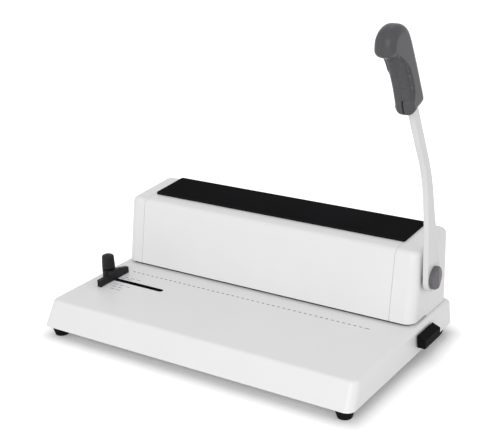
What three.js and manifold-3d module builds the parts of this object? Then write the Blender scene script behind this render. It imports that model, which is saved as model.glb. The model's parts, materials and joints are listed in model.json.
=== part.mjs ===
// A manual coil binding machine: base, punching head, lever, edge guide and chip tray.
// Millimetres. X runs along the machine, the front faces -Y, and +Z is up.
import * as THREE from 'three';
import { mergeVertices } from 'three/addons/utils/BufferGeometryUtils.js';
import Module from 'manifold-3d';

const wasm = await Module();
wasm.setup();

// Clearances and counts
const gap = 0.3;                    // between pieces that touch
const overrun = 2;                  // how far a cut runs past the faces that it opens
const weld = 0.0001;                // corners closer than this are one corner
const cornerSteps = 6;              // facets of a quarter round in plan
const bendSteps = 4;                // facets of a quarter round along an edge
const roundSides = 16;
const smallSides = 8;
const pinSides = 6;
const hexSides = 6;
const wireSides = 5;
const windingSteps = 8;             // facets of one turn of a spring
const camSteps = 12;
const hubSteps = 8;
const leverSteps = 20;

// Base
const baseLength = 371.2;           // at its lower edge
const baseFrontReach = 116;         // from the drawing's origin to the lower front edge
const baseRearReach = 108;
const baseEndLean = 1.2;            // how far the top of an end stands in from its lower edge
const baseFrontLean = 12.1;
const baseHeight = 25.1;            // cover alone, without the feet
const baseCornerRadius = 9;
const baseBendRadius = 4.5;
const baseWall = 1.6;
const bottomPlateThickness = 1.6;

// Feet
const footHeight = 12;
const footDiameter = 20.8;
const footTaper = 3.4;              // the radius lost towards the table
const footInsetX = 13.9;            // foot axis from the base's lower edges
const footInsetY = 13.7;
const footStemDiameter = 6;
const footBarbLip = 1.2;
const footBarbHeight = 3.5;
const footDimpleDiameter = 7;
const footDimpleDepth = 1.5;

// Housing
const housingInset = 6.6;           // each end, inside the base's lower edge
const housingRearInset = 2;
const housingDepth = 84.2;          // at its lower front edge
const housingLean = 13.2;           // how far the top front edge stands back
const housingFrontRise = 74.2;      // top above the base, at the front
const housingRearRise = 78.5;
const housingCornerRadius = 11;
const housingEdgeRadius = 6;
const housingRearEdgeRadius = 2.4;
const housingWall = 1.6;
const skirtDrop = 2;                // how far the housing reaches down round the base bend
const leftCapWidth = 20.9;
const rightCapWidth = 25.7;
const throatHeight = 2.5;
const throatDepth = 33.1;           // from the housing's lower front edge to the paper stop

// Top panel
const panelThickness = 2.5;
const panelFrontSetback = 18.9;     // behind the top front edge
const panelRearInset = 2;
const panelLeftInset = 1.7;
const panelRightOverlap = 0.9;      // past the right seam
const panelCornerRadius = 2;
const panelBevel = 0.8;

// Frames and bars
const frameThickness = 3;
const leftBay = 7.4;                // between the left cap's wall and the left frame
const rightBay = 26;
const frameFlangeWidth = 14;
const frameFlangeThickness = 3;
const frameFootDepth = 45.7;        // the part of a frame that stands in the base
const tieBarSize = 12;
const lowerTieRise = 12.9;          // centre above the base top
const upperTieRise = 62.9;

// Punch row
const pitch = 6.35;
const rodBay = 14.7;                // room between the last punch and a frame
const punchDiameter = 4;
const holeMargin = 3.5;             // hole centre to the paper edge
const barFrontReach = 9.1;          // bars' front face, in front of the punch line
const diePlateThickness = 9;
const dieBoltRise = 3.6;            // above the die plate's lower face
const punchGuideThickness = 8;
const paperStopDepth = 3;
const punchTravel = 7;
const punchTipClearance = 0.5;
const punchBarHeight = 14;
const punchBarDepth = 16;
const punchBarEndGap = 0.8;
const combStripThickness = 3;
const combStripDepth = 8;
const combStripEnd = 3;

// Guide rods and springs
const rodInset = 6.6;               // rod centre from the frame
const rodDiameter = 5;
const rodSeat = 5;                  // how deep a rod stands in the punch guide
const springWire = 1;
const springDiameter = 8.2;
const springTurns = 5;
const springPocketDepth = 10;
const springPocketDiameter = 9;

// Shaft and cams
const shaftRise = 45.4;             // axis above the base top
const shaftDiameter = 12;
const shaftLeftReach = 4;           // past the left frame
const spigotDiameter = 8;
const camRadius = 10;
const camThickness = 8;
const camSpreadShare = 0.77;        // of half the row, each side of its middle
const camNoseOverrun = 5;           // degrees of lift past the lever's travel
const leverTravel = 75;             // degrees
const bushDiameter = 16;
const bushFlangeDiameter = 20;
const bushFlangeThickness = 1.6;
const collarDiameter = 19;
const collarWidth = 7;

// Lever
const leverClearance = 2.7;         // between the housing's end and the lever
const leverThickness = 5.6;
const leverRise = 175.5;            // axis to the grip's entry
const leverHubRadius = 14.5;
const tangWidth = 10;
const tangRise = 62;
const spacerDiameter = 20;
const pivotCapDiameter = 23.6;
const pivotCapHeight = 5.2;
const pivotCapWall = 1.6;
const pivotCapBevel = 1.2;
const leverBoltDiameter = 4;
const leverBoltLength = 16;
const leverBoltHeadAcross = 9;
const leverBoltHeadHeight = 2.6;

// Grip
const gripSize = 100;
const gripThickness = 20;
const gripRounding = 7;
const gripScrewDiameter = 3;
const gripScrewHeadDiameter = 6;
const gripScrewHeadDepth = 3;
const gripScrewEndWall = 3;

// Edge guide
const knobInsetX = 19.3;            // knob axis from the base's lower left edge
const guideInsetY = 90;             // slot from the base's lower front edge
const guideTravel = 71;
const slotWidth = 6.5;
const slotEndRoom = 1.2;
const fenceThickness = 4.8;
const fenceReach = 9.8;             // from the knob axis to the fence's right face
const fenceLength = 48;
const fenceRearShare = 0.46;        // part of the fence that lies behind the slot
const fenceFrontHeight = 8;
const fenceRearHeight = 7.2;
const fenceMiddleHalf = 5.4;        // half the length of its high middle
const guideBossDiameter = 14.4;
const guideBossHeight = 11.2;
const knobDiameter = 14.6;
const knobTaper = 0.6;              // the radius lost towards the top
const knobHeight = 17;
const knobGroove = 0.7;             // round its foot
const knobDome = 1.4;
const knobEdgeRadius = 1.6;
const knobBoreDepth = 10;
const studDiameter = 4.2;
const guideNutSize = 14;
const guideNutThickness = 3;

// Chip tray
const trayForward = 12.5;           // tray's middle in front of the punch line
const trayLeftRoom = 17.5;          // from the left frame's inner face
const trayDepth = 30;
const trayHeight = 7.4;
const trayWall = 1;
const trayRise = 8;                 // floor above the base's lower edge
const trayEndInset = 5;             // tray end from the base's lower right edge
const trayOpeningRoom = 0.4;
const pullReach = 9.2;
const pullDepth = 35.4;
const pullForward = 2.2;            // pull's middle in front of the tray's
const pullRise = 7.5;               // above the base's lower edge
const pullHeight = 13.2;
const pullOuterHeight = 9.4;
const pullPocketHeight = 6.5;       // open to below, for the fingers
const pullWall = 2.2;
const railWidth = 10;
const railThickness = 1.6;
const railLip = 5;

// Screws
const frameBoltDiameter = 4;
const frameBoltHeadDiameter = 6.5;
const frameBoltHeadHeight = 3.6;
const frameBoltReach = 9;
const coverScrewDiameter = 3;
const coverScrewHeadDiameter = 6;
const coverScrewHeadHeight = 1.5;
const coverScrewReach = 8;
const coverScrewSpreadShare = 0.77; // of half the row

// Places that follow from the sizes above
const halfLength = baseLength / 2;
const baseFront = -baseFrontReach;
const baseRear = baseRearReach;
const baseTop = footHeight + baseHeight;
const flankTop = baseTop - baseBendRadius;
const plateTop = footHeight + bottomPlateThickness;
const throatTop = baseTop + throatHeight;
const housingEnd = halfLength - housingInset;
const housingRear = baseRear - housingRearInset;
const housingFront = housingRear - housingDepth;
const topFrontY = housingFront + housingLean;
const topFrontZ = baseTop + housingFrontRise;
const topSlope = (housingRearRise - housingFrontRise) / (housingRear - topFrontY);
const leftSeam = -housingEnd + leftCapWidth;
const rightSeam = housingEnd - rightCapWidth;
const skirtBottom = baseTop - skirtDrop;
const stopY = housingFront + throatDepth;
const punchY = stopY - holeMargin;
const barFront = punchY - barFrontReach;
const barRear = punchY + barFrontReach;
const frameLeftOuter = -housingEnd + housingWall + leftBay;
const frameLeftInner = frameLeftOuter + frameThickness;
const frameRightOuter = housingEnd - housingWall - rightBay;
const frameRightInner = frameRightOuter - frameThickness;
const frameRear = housingRear - housingWall - gap;
const frameFootRear = barFront + frameFootDepth;
const rowMiddle = (frameLeftInner + frameRightInner) / 2;
const punchCount = Math.floor((frameRightInner - frameLeftInner - 2 * rodBay) / pitch) + 1;
const rowHalf = (punchCount - 1) * pitch / 2;
const camSpread = rowHalf * camSpreadShare;
const coverScrewSpread = rowHalf * coverScrewSpreadShare;
const rodPlaces = [frameLeftInner + rodInset, frameRightInner - rodInset];
const shaftZ = baseTop + shaftRise;
const dieBottom = baseTop - diePlateThickness;
const guideTop = throatTop + punchGuideThickness;
const punchBarTop = shaftZ - camRadius - gap;
const punchBarBottom = punchBarTop - punchBarHeight;
const combTop = punchBarBottom - gap;
const combBottom = combTop - combStripThickness;
const punchTip = throatTop + punchTipClearance;
const tieCentreY = frameRear - tieBarSize / 2;
const tieHeights = [baseTop + lowerTieRise, baseTop + upperTieRise];
const leverInner = housingEnd + leverClearance;
const leverOuter = leverInner + leverThickness;
const leverMiddle = (leverInner + leverOuter) / 2;
const knobX = -halfLength + knobInsetX;
const guideY = baseFront + guideInsetY;
const trayBottom = footHeight + trayRise;
const trayTop = trayBottom + trayHeight;
const trayRight = halfLength - trayEndInset;
const trayLeft = frameLeftInner + trayLeftRoom;
const trayMiddleY = punchY - trayForward;
const trayFront = trayMiddleY - trayDepth / 2;
const trayRear = trayMiddleY + trayDepth / 2;
const pullMiddleY = trayMiddleY - pullForward;
const degree = Math.PI / 180;
const cornerTurn = Math.PI / 2;

// Materials
const finish = (color, roughness, metalness) => (
  new THREE.MeshStandardMaterial({ color, roughness, metalness })
);
const whitePaint = finish(0xebebee, 0.45, 0);
const leverPaint = finish(0xdcdce0, 0.4, 0);
const blackPlastic = finish(0x1f1e22, 0.5, 0);
const panelBlack = finish(0x1c1b1e, 0.6, 0);
const gripPlastic = finish(0x55545a, 0.6, 0);
const capPlastic = finish(0x737076, 0.5, 0);
const rubber = finish(0x19191b, 0.9, 0);
const steel = finish(0xa9abae, 0.35, 1);
const darkSteel = finish(0x6c6e72, 0.4, 1);
const zincSheet = finish(0xc2c4c6, 0.4, 1);
const bronze = finish(0xb08d57, 0.35, 1);

// A closed geometry as a solid, with its faces turned outwards
function solidFrom(geometry) {
  geometry.deleteAttribute('normal');
  geometry.deleteAttribute('uv');
  const merged = mergeVertices(geometry, weld);
  const place = merged.attributes.position;
  const corners = [];
  const a = new THREE.Vector3();
  const b = new THREE.Vector3();
  const c = new THREE.Vector3();
  let volume = 0;
  for (let i = 0; i < merged.index.count; i += 3) {
    const [p, q, r] = [0, 1, 2].map((k) => merged.index.getX(i + k));
    if (p === q || q === r || r === p) continue;
    corners.push(p, q, r);
    volume += a.fromBufferAttribute(place, p).dot(
      b.fromBufferAttribute(place, q).cross(c.fromBufferAttribute(place, r)),
    );
  }
  if (volume < 0) corners.reverse();
  return new wasm.Manifold(new wasm.Mesh({
    numProp: 3,
    vertProperties: Float32Array.from(place.array),
    triVerts: Uint32Array.from(corners),
  }));
}

function geometryFrom(solid) {
  const mesh = solid.getMesh();
  const geometry = new THREE.BufferGeometry();
  geometry.setAttribute('position', new THREE.BufferAttribute(mesh.vertProperties, 3));
  geometry.setIndex(new THREE.BufferAttribute(mesh.triVerts, 1));
  geometry.computeVertexNormals();
  return geometry;
}

function addPiece(group, name, solid, material) {
  const mesh = new THREE.Mesh(geometryFrom(solid), material);
  mesh.name = name;
  group.add(mesh);
  return mesh;
}

const joined = (solids) => solids.reduce((whole, solid) => whole.add(solid));
const without = (solid, cuts) => cuts.reduce((rest, cut) => rest.subtract(cut), solid);

function block(x0, x1, y0, y1, z0, z1) {
  const box = new THREE.BoxGeometry(x1 - x0, y1 - y0, z1 - z0);
  return solidFrom(box.translate((x0 + x1) / 2, (y0 + y1) / 2, (z0 + z1) / 2));
}

// Round bars along each axis
function rodZ(radius, z0, z1, x, y, sides = roundSides) {
  const bar = new THREE.CylinderGeometry(radius, radius, z1 - z0, sides);
  return solidFrom(bar.rotateX(cornerTurn).translate(x, y, (z0 + z1) / 2));
}

function rodY(radius, y0, y1, x, z, sides = roundSides) {
  const bar = new THREE.CylinderGeometry(radius, radius, y1 - y0, sides);
  return solidFrom(bar.translate(x, (y0 + y1) / 2, z));
}

function rodX(radius, x0, x1, y, z, sides = roundSides) {
  const bar = new THREE.CylinderGeometry(radius, radius, x1 - x0, sides);
  return solidFrom(bar.rotateZ(cornerTurn).translate((x0 + x1) / 2, y, z));
}

const shapeOf = (outline) => new THREE.Shape(outline.map(([u, v]) => new THREE.Vector2(u, v)));

// Outlines of [x, y] pushed along Z, of [y, z] along X, and of [x, z] along Y
function prismZ(outline, z0, z1) {
  const slab = new THREE.ExtrudeGeometry(shapeOf(outline), { depth: z1 - z0, bevelEnabled: false });
  return solidFrom(slab.translate(0, 0, z0));
}

const axesAlongX = new THREE.Matrix4().set(0, 0, 1, 0, 1, 0, 0, 0, 0, 1, 0, 0, 0, 0, 0, 1);

function prismX(outline, x0, x1) {
  const slab = new THREE.ExtrudeGeometry(shapeOf(outline), { depth: x1 - x0, bevelEnabled: false });
  return solidFrom(slab.applyMatrix4(axesAlongX).translate(x0, 0, 0));
}

function prismY(outline, y0, y1) {
  const slab = new THREE.ExtrudeGeometry(shapeOf(outline), { depth: y1 - y0, bevelEnabled: false });
  return solidFrom(slab.rotateX(cornerTurn).translate(0, y1, 0));
}

// A [y, z] outline, counter-clockwise, pushed along X with rounded edges on both faces
function cushionX(outline, x0, x1, radius) {
  const count = outline.length;
  const normals = outline.map((_, i) => {
    const [ay, az] = outline[(i + count - 1) % count];
    const [by, bz] = outline[(i + 1) % count];
    const length = Math.hypot(by - ay, bz - az);
    return [(bz - az) / length, (ay - by) / length];
  });
  const ringAt = (x, inwards) => (
    outline.map(([y, z], i) => [x, y - normals[i][0] * inwards, z - normals[i][1] * inwards])
  );
  const starts = bendAngles.map((angle) => (
    ringAt(x0 + radius * (1 - Math.sin(angle)), radius * (1 - Math.cos(angle)))
  )).reverse();
  const ends = bendAngles.map((angle) => (
    ringAt(x1 - radius * (1 - Math.sin(angle)), radius * (1 - Math.cos(angle)))
  ));
  return loft([...starts, ...ends]);
}

// A profile of [radius, height] turned about Z
function turned(profile, x = 0, y = 0, sides = roundSides) {
  const points = profile.map(([radius, height]) => new THREE.Vector2(radius, height));
  const body = new THREE.LatheGeometry(points, sides);
  return solidFrom(body.rotateX(cornerTurn).translate(x, y, 0));
}

// The same profile turned about a line along X
function turnedX(profile, y, z, sides = roundSides) {
  const points = profile.map(([radius, place]) => new THREE.Vector2(radius, place));
  const body = new THREE.LatheGeometry(points, sides);
  return solidFrom(body.rotateZ(-cornerTurn).translate(0, y, z));
}

// Corners of a rounded rectangle in plan, each with the outward direction there
function plan(x0, x1, y0, y1, radius) {
  const corners = [
    [x1 - radius, y1 - radius, 0],
    [x0 + radius, y1 - radius, 1],
    [x0 + radius, y0 + radius, 2],
    [x1 - radius, y0 + radius, 3],
  ];
  return corners.flatMap(([cx, cy, quarter]) => (
    Array.from({ length: cornerSteps + 1 }, (_, i) => {
      const turn = (quarter + i / cornerSteps) * cornerTurn;
      const nx = Math.cos(turn);
      const ny = Math.sin(turn);
      return { x: cx + radius * nx, y: cy + radius * ny, nx, ny };
    })
  ));
}

// A solid through rings of corners, closed by a flat face at each end
function loft(rings) {
  const count = rings[0].length;
  const faces = [];
  for (let k = 0; k + 1 < rings.length; k += 1) {
    for (let i = 0; i < count; i += 1) {
      const here = k * count + i;
      const next = k * count + (i + 1) % count;
      faces.push(here, next, next + count, here, next + count, here + count);
    }
  }
  const last = (rings.length - 1) * count;
  const widest = rings[Math.floor(rings.length / 2)];
  const across = widest[0][0] === widest[1][0] ? [1, 2] : [0, 1];
  const flat = widest.map((corner) => new THREE.Vector2(corner[across[0]], corner[across[1]]));
  for (const [a, b, c] of THREE.ShapeUtils.triangulateShape(flat, [])) {
    faces.push(a, c, b, last + a, last + b, last + c);
  }
  const geometry = new THREE.BufferGeometry();
  geometry.setAttribute('position', new THREE.Float32BufferAttribute(rings.flat(2), 3));
  geometry.setIndex(faces);
  return solidFrom(geometry);
}

const bendAngles = Array.from({ length: bendSteps + 1 }, (_, i) => i / bendSteps * cornerTurn);

// How far the base's flank leans from upright, where its outline faces (nx, ny)
const flankLean = (nx, ny) => Math.atan(
  (baseEndLean * Math.abs(nx) + baseFrontLean * Math.max(-ny, 0)) / (flankTop - footHeight),
);

// The base's outer form, drawn in by an inset on every side and open to any depth below.
// The bend runs from the top into the leaning flank, which goes straight down to the lower edge.
function baseForm(inset, bottom) {
  const outline = (share) => plan(
    -halfLength + baseEndLean * (1 - share) + inset,
    halfLength - baseEndLean * (1 - share) - inset,
    baseFront + baseFrontLean * (1 - share) + inset,
    baseRear - inset,
    baseCornerRadius - inset,
  );
  const bend = baseBendRadius - inset;
  const dropShare = (flankTop - bottom) / (flankTop - footHeight);
  const rings = [outline(dropShare).map(({ x, y }) => [x, y, bottom])];
  for (const turn of bendAngles) {
    rings.push(outline(0).map(({ x, y, nx, ny }) => {
      const lean = flankLean(nx, ny);
      const angle = lean + turn * (1 - lean / cornerTurn);
      const inwards = bend * (1 / Math.cos(lean) - Math.cos(angle));
      const z = baseTop - inset - bend * (1 - Math.sin(angle));
      return [x - nx * inwards, y - ny * inwards, z];
    }));
  }
  return loft(rings);
}

// The front wall leans back, so every level is drawn towards the rear in proportion to its height
const leanPerRise = housingLean / housingDepth / (topFrontZ - throatTop);
const leanedY = (y, z) => housingRear - (housingRear - y) * (1 - leanPerRise * (z - throatTop));
const topZ = (y) => topFrontZ + topSlope * (y - topFrontY);

// The height at which a wall that starts from y meets the sloping top, less a drop
function leanedTop(y, drop) {
  const reach = housingRear - y;
  const level = topZ(housingRear - reach - reach * leanPerRise * throatTop) - drop;
  return level / (1 - topSlope * reach * leanPerRise);
}

// The housing's outer form, drawn in by an inset on every side and open to any depth below
function housingForm(inset, bottom) {
  const outline = plan(
    -housingEnd + inset,
    housingEnd - inset,
    housingFront + inset,
    housingRear - inset,
    housingCornerRadius - inset,
  );
  const rings = [outline.map(({ x, y }) => [x, leanedY(y, bottom), bottom])];
  for (const angle of bendAngles) {
    rings.push(outline.map(({ x, y, nx, ny }) => {
      const rearward = Math.max(ny, 0);
      const edge = housingEdgeRadius + (housingRearEdgeRadius - housingEdgeRadius) * rearward - inset;
      const px = x - nx * edge * (1 - Math.cos(angle));
      const py = y - ny * edge * (1 - Math.cos(angle));
      const z = leanedTop(py, inset + edge * (1 - Math.sin(angle)));
      return [px, leanedY(py, z), z];
    }));
  }
  return loft(rings);
}

// Base cover: a folded shell with the guide slot, the window for the head and the tray opening
function baseCover() {
  const shell = baseForm(0, footHeight).subtract(baseForm(baseWall, footHeight - overrun));
  const slotHalf = slotWidth / 2;
  const slotLeft = knobX - studDiameter / 2 - slotEndRoom;
  const slotRight = knobX + guideTravel + studDiameter / 2 + slotEndRoom;
  const slot = prismZ(
    plan(slotLeft, slotRight, guideY - slotHalf, guideY + slotHalf, slotHalf).map(({ x, y }) => [x, y]),
    baseTop - baseWall - overrun,
    baseTop + overrun,
  );
  const headWindow = block(
    frameLeftOuter - gap,
    frameRightOuter + gap,
    barFront - gap,
    frameFootRear + gap,
    baseTop - baseWall - overrun,
    baseTop + overrun,
  );
  const trayOpening = block(
    halfLength - baseWall - overrun,
    halfLength + overrun,
    trayFront - trayOpeningRoom,
    trayRear + trayOpeningRoom,
    trayBottom - trayOpeningRoom,
    trayTop + gap,
  );
  return without(shell, [slot, headWindow, trayOpening]);
}

const footPlaces = [
  ['front_left', -halfLength + footInsetX, baseFront + footInsetY],
  ['front_right', halfLength - footInsetX, baseFront + footInsetY],
  ['rear_left', -halfLength + footInsetX, baseRear - footInsetY],
  ['rear_right', halfLength - footInsetX, baseRear - footInsetY],
];

function bottomPlate() {
  const slab = block(-halfLength, halfLength, baseFront, baseRear, footHeight, plateTop);
  const sheet = baseForm(baseWall + gap, footHeight - overrun).intersect(slab);
  const holes = footPlaces.map(([, x, y]) => (
    rodZ(footStemDiameter / 2 + gap, footHeight - overrun, plateTop + overrun, x, y, smallSides)
  ));
  return without(sheet, holes);
}

// A rubber foot with a stem that snaps through the bottom plate
function foot(x, y) {
  const top = footHeight - gap;
  const barb = plateTop + gap;
  const stem = footStemDiameter / 2;
  return turned([
    [0, footDimpleDepth],
    [footDimpleDiameter / 2, footDimpleDepth],
    [footDimpleDiameter / 2, 0],
    [footDiameter / 2 - footTaper, 0],
    [footDiameter / 2, top],
    [stem, top],
    [stem, barb],
    [stem + footBarbLip, barb],
    [stem - footBarbLip, barb + footBarbHeight],
    [0, barb + footBarbHeight],
  ], x, y);
}

function makeBase() {
  const group = new THREE.Group();
  addPiece(group, 'base_cover', baseCover(), whitePaint);
  addPiece(group, 'bottom_plate', bottomPlate(), zincSheet);
  for (const [name, x, y] of footPlaces) {
    addPiece(group, `foot_${name}`, foot(x, y), rubber);
  }
  return group;
}

// Housing: two end caps, a folded front and top, a rear cover and the panel on the top
const housingShell = housingForm(0, skirtBottom).subtract(housingForm(housingWall, skirtBottom - overrun));
const belowThroat = (rear) => (
  block(-halfLength, halfLength, baseFront, rear, skirtBottom - overrun, throatTop)
);
const throatFlange = housingForm(0, skirtBottom).intersect(block(
  -halfLength, halfLength, baseFront, barFront - gap, throatTop, throatTop + housingWall,
));
const aroundBase = baseForm(-gap, footHeight);
const beyondTop = topZ(housingRear) + overrun;
const betweenLines = (x0, x1, y0, y1) => block(x0, x1, y0, y1, skirtBottom - overrun, beyondTop);

function endCap(x0, x1) {
  const slice = betweenLines(x0, x1, baseFront, baseRear);
  return without(housingShell.add(throatFlange).intersect(slice), [aroundBase, belowThroat(stopY)]);
}

function rightCap() {
  const bore = rodX(
    shaftDiameter / 2 + gap, housingEnd - housingWall - overrun, housingEnd + overrun, punchY, shaftZ,
  );
  return endCap(rightSeam + gap / 2, halfLength).subtract(bore);
}

function frontCover() {
  const slice = betweenLines(leftSeam + gap / 2, rightSeam - gap / 2, baseFront, frameRear);
  return housingShell.add(throatFlange).intersect(slice).subtract(belowThroat(baseRear));
}

const coverScrewPlaces = [
  ['upper_left', rowMiddle - coverScrewSpread, tieHeights[1]],
  ['upper_right', rowMiddle + coverScrewSpread, tieHeights[1]],
  ['lower_left', rowMiddle - coverScrewSpread, tieHeights[0]],
  ['lower_right', rowMiddle + coverScrewSpread, tieHeights[0]],
];

const coverScrewBore = (x, z) => rodY(
  coverScrewDiameter / 2 + gap,
  housingRear - housingWall - gap - coverScrewReach - gap,
  housingRear + overrun,
  x,
  z,
  smallSides,
);

function rearCover() {
  const slice = betweenLines(leftSeam + gap / 2, rightSeam - gap / 2, frameRear + gap, baseRear);
  const bores = coverScrewPlaces.map(([, x, z]) => coverScrewBore(x, z));
  return without(housingShell.intersect(slice), [aroundBase, ...bores]);
}

function coverScrew(x, z) {
  const seat = housingRear + gap;
  const shank = rodY(
    coverScrewDiameter / 2, seat - housingWall - coverScrewReach, seat + gap, x, z, smallSides,
  );
  const head = rodY(coverScrewHeadDiameter / 2, seat, seat + coverScrewHeadHeight, x, z, smallSides);
  return shank.add(head);
}

// The panel is drawn flat, from its lower front left corner, and then tilted with the top
function topPanel() {
  const length = rightSeam + panelRightOverlap - leftSeam - panelLeftInset;
  const depth = (housingRear - panelRearInset - topFrontY - panelFrontSetback) * Math.hypot(1, topSlope);
  const ring = (inset, z) => (
    plan(inset, length - inset, inset, depth - inset, panelCornerRadius).map(({ x, y }) => [x, y, z])
  );
  return loft([
    ring(0, 0),
    ring(0, panelThickness - panelBevel),
    ring(panelBevel, panelThickness),
  ]);
}

function makeHousing() {
  const group = new THREE.Group();
  addPiece(group, 'left_cap', endCap(-halfLength, leftSeam - gap / 2), whitePaint);
  addPiece(group, 'right_cap', rightCap(), whitePaint);
  addPiece(group, 'front_cover', frontCover(), whitePaint);
  addPiece(group, 'rear_cover', rearCover(), whitePaint);
  for (const [name, x, z] of coverScrewPlaces) {
    addPiece(group, `rear_cover_screw_${name}`, coverScrew(x, z), darkSteel);
  }
  const panel = addPiece(group, 'top_panel', topPanel(), panelBlack);
  const panelFront = topFrontY + panelFrontSetback;
  panel.position.set(leftSeam + panelLeftInset, panelFront, topZ(panelFront) + gap);
  panel.rotation.x = Math.atan(topSlope);
  return group;
}

// Frames: upright plates with a throat notch, a foot flange and a bore for the shaft bush
const boltPlaces = [
  ['die', punchY, dieBottom + dieBoltRise],
  ['guide', punchY, (throatTop + guideTop) / 2],
  ['tie_lower', tieCentreY, tieHeights[0]],
  ['tie_upper', tieCentreY, tieHeights[1]],
];

function frameOutline() {
  const underTop = (y) => topZ(y) - housingWall - gap;
  const baseSeat = baseTop + gap;
  return [
    [barFront, plateTop + gap],
    [frameFootRear, plateTop + gap],
    [frameFootRear, baseSeat],
    [frameRear, baseSeat],
    [frameRear, underTop(frameRear)],
    [barFront, underTop(barFront)],
    [barFront, throatTop],
    [stopY, throatTop],
    [stopY, baseTop],
    [barFront, baseTop],
  ];
}

function frame(x0, x1, flangeStart) {
  const plate = prismX(frameOutline(), x0, x1);
  const flange = block(
    flangeStart,
    flangeStart + frameFlangeWidth,
    barFront,
    frameFootRear,
    plateTop + gap,
    plateTop + gap + frameFlangeThickness,
  );
  const bushBore = rodX(bushDiameter / 2 + gap, x0 - overrun, x1 + overrun, punchY, shaftZ);
  const boltBores = boltPlaces.map(([, y, z]) => (
    rodX(frameBoltDiameter / 2 + gap, x0 - overrun, x1 + overrun, y, z, smallSides)
  ));
  return without(plate.add(flange), [bushBore, ...boltBores]);
}

function frameRight() {
  const trayWay = block(
    frameRightInner - frameFlangeWidth - overrun,
    frameRightOuter + overrun,
    trayFront - trayOpeningRoom,
    trayRear + trayOpeningRoom,
    trayBottom - trayOpeningRoom,
    trayTop + trayOpeningRoom,
  );
  return frame(frameRightInner, frameRightOuter, frameRightOuter - frameFlangeWidth).subtract(trayWay);
}

const punchPlaces = Array.from({ length: punchCount }, (_, i) => rowMiddle - rowHalf + i * pitch);
const barLeft = frameLeftInner + gap;
const barRight = frameRightInner - gap;

// Blind bores in both ends of a bar, for the bolts that come through the frames
const endBores = (y, z) => [
  rodX(frameBoltDiameter / 2 + gap, barLeft - overrun, barLeft + frameBoltReach, y, z, smallSides),
  rodX(frameBoltDiameter / 2 + gap, barRight - frameBoltReach, barRight + overrun, y, z, smallSides),
];

const punchBores = (z0, z1) => punchPlaces.map((x) => (
  rodZ(punchDiameter / 2 + gap, z0 - overrun, z1 + overrun, x, punchY, pinSides)
));

function diePlate() {
  const bar = block(barLeft, barRight, barFront, barRear, dieBottom, baseTop);
  return without(bar, [...punchBores(dieBottom, baseTop), ...endBores(punchY, boltPlaces[0][2])]);
}

function punchGuide() {
  const bar = block(barLeft, barRight, barFront, barRear, throatTop, guideTop);
  const rodSeats = rodPlaces.map((x) => (
    rodZ(rodDiameter / 2 + gap, guideTop - rodSeat - gap, guideTop + overrun, x, punchY, smallSides)
  ));
  return without(bar, [...punchBores(throatTop, guideTop), ...rodSeats, ...guideEndBores()]);
}

// The punch guide's end bores stop short of the rods' seats
function guideEndBores() {
  const reach = rodInset - rodDiameter / 2 - 2 * gap;
  const z = boltPlaces[1][2];
  const radius = frameBoltDiameter / 2 + gap;
  return [
    rodX(radius, barLeft - overrun, frameLeftInner + reach, punchY, z, smallSides),
    rodX(radius, frameRightInner - reach, barRight + overrun, punchY, z, smallSides),
  ];
}

function tieBar(z) {
  const half = tieBarSize / 2;
  const bar = block(barLeft, barRight, tieCentreY - half, tieCentreY + half, z - half, z + half);
  const screwBores = coverScrewPlaces
    .filter(([, , height]) => height === z)
    .map(([, x, height]) => coverScrewBore(x, height));
  return without(bar, [...endBores(tieCentreY, z), ...screwBores]);
}

// A socket screw that points away from its head along X: side is -1 at the left, 1 at the right
function frameBolt(side, y, z, reach) {
  const seat = (side < 0 ? frameLeftOuter : frameRightOuter) + side * gap;
  const tip = seat - side * (gap + frameThickness + reach);
  const crown = seat + side * frameBoltHeadHeight;
  const alongX = (radius, from, to, sides) => (
    rodX(radius, Math.min(from, to), Math.max(from, to), y, z, sides)
  );
  const shank = alongX(frameBoltDiameter / 2, tip, seat + side * gap, smallSides);
  const head = alongX(frameBoltHeadDiameter / 2, seat, crown, smallSides);
  return shank.add(head);
}

function bush(side) {
  const inner = side < 0 ? frameLeftInner : frameRightInner;
  const outer = side < 0 ? frameLeftOuter : frameRightOuter;
  const flangeSeat = inner - side * gap;
  const flangeFace = flangeSeat - side * bushFlangeThickness;
  const bore = shaftDiameter / 2 + gap;
  return turnedX([
    [bore, flangeFace],
    [bushFlangeDiameter / 2, flangeFace],
    [bushFlangeDiameter / 2, flangeSeat],
    [bushDiameter / 2, flangeSeat],
    [bushDiameter / 2, outer],
    [bore, outer],
    [bore, flangeFace],
  ], punchY, shaftZ);
}

// A return spring: one wire wound round its rod, with its ends in the pocket and on the guide
function spring(x) {
  const foot = guideTop + gap + springWire / 2;
  const head = punchBarBottom + springPocketDepth - gap - springWire / 2;
  const coil = (springDiameter - springWire) / 2;
  class Winding extends THREE.Curve {
    getPoint(share) {
      const turn = share * springTurns * 2 * Math.PI;
      const height = foot + (head - foot) * share;
      return new THREE.Vector3(x + coil * Math.cos(turn), punchY + coil * Math.sin(turn), height);
    }
  }
  const wire = Array.from({ length: wireSides }, (_, i) => {
    const turn = i / wireSides * 2 * Math.PI;
    return [Math.cos(turn) * springWire / 2, Math.sin(turn) * springWire / 2];
  });
  return solidFrom(new THREE.ExtrudeGeometry(shapeOf(wire), {
    steps: springTurns * windingSteps,
    extrudePath: new Winding(),
  }));
}

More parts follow.
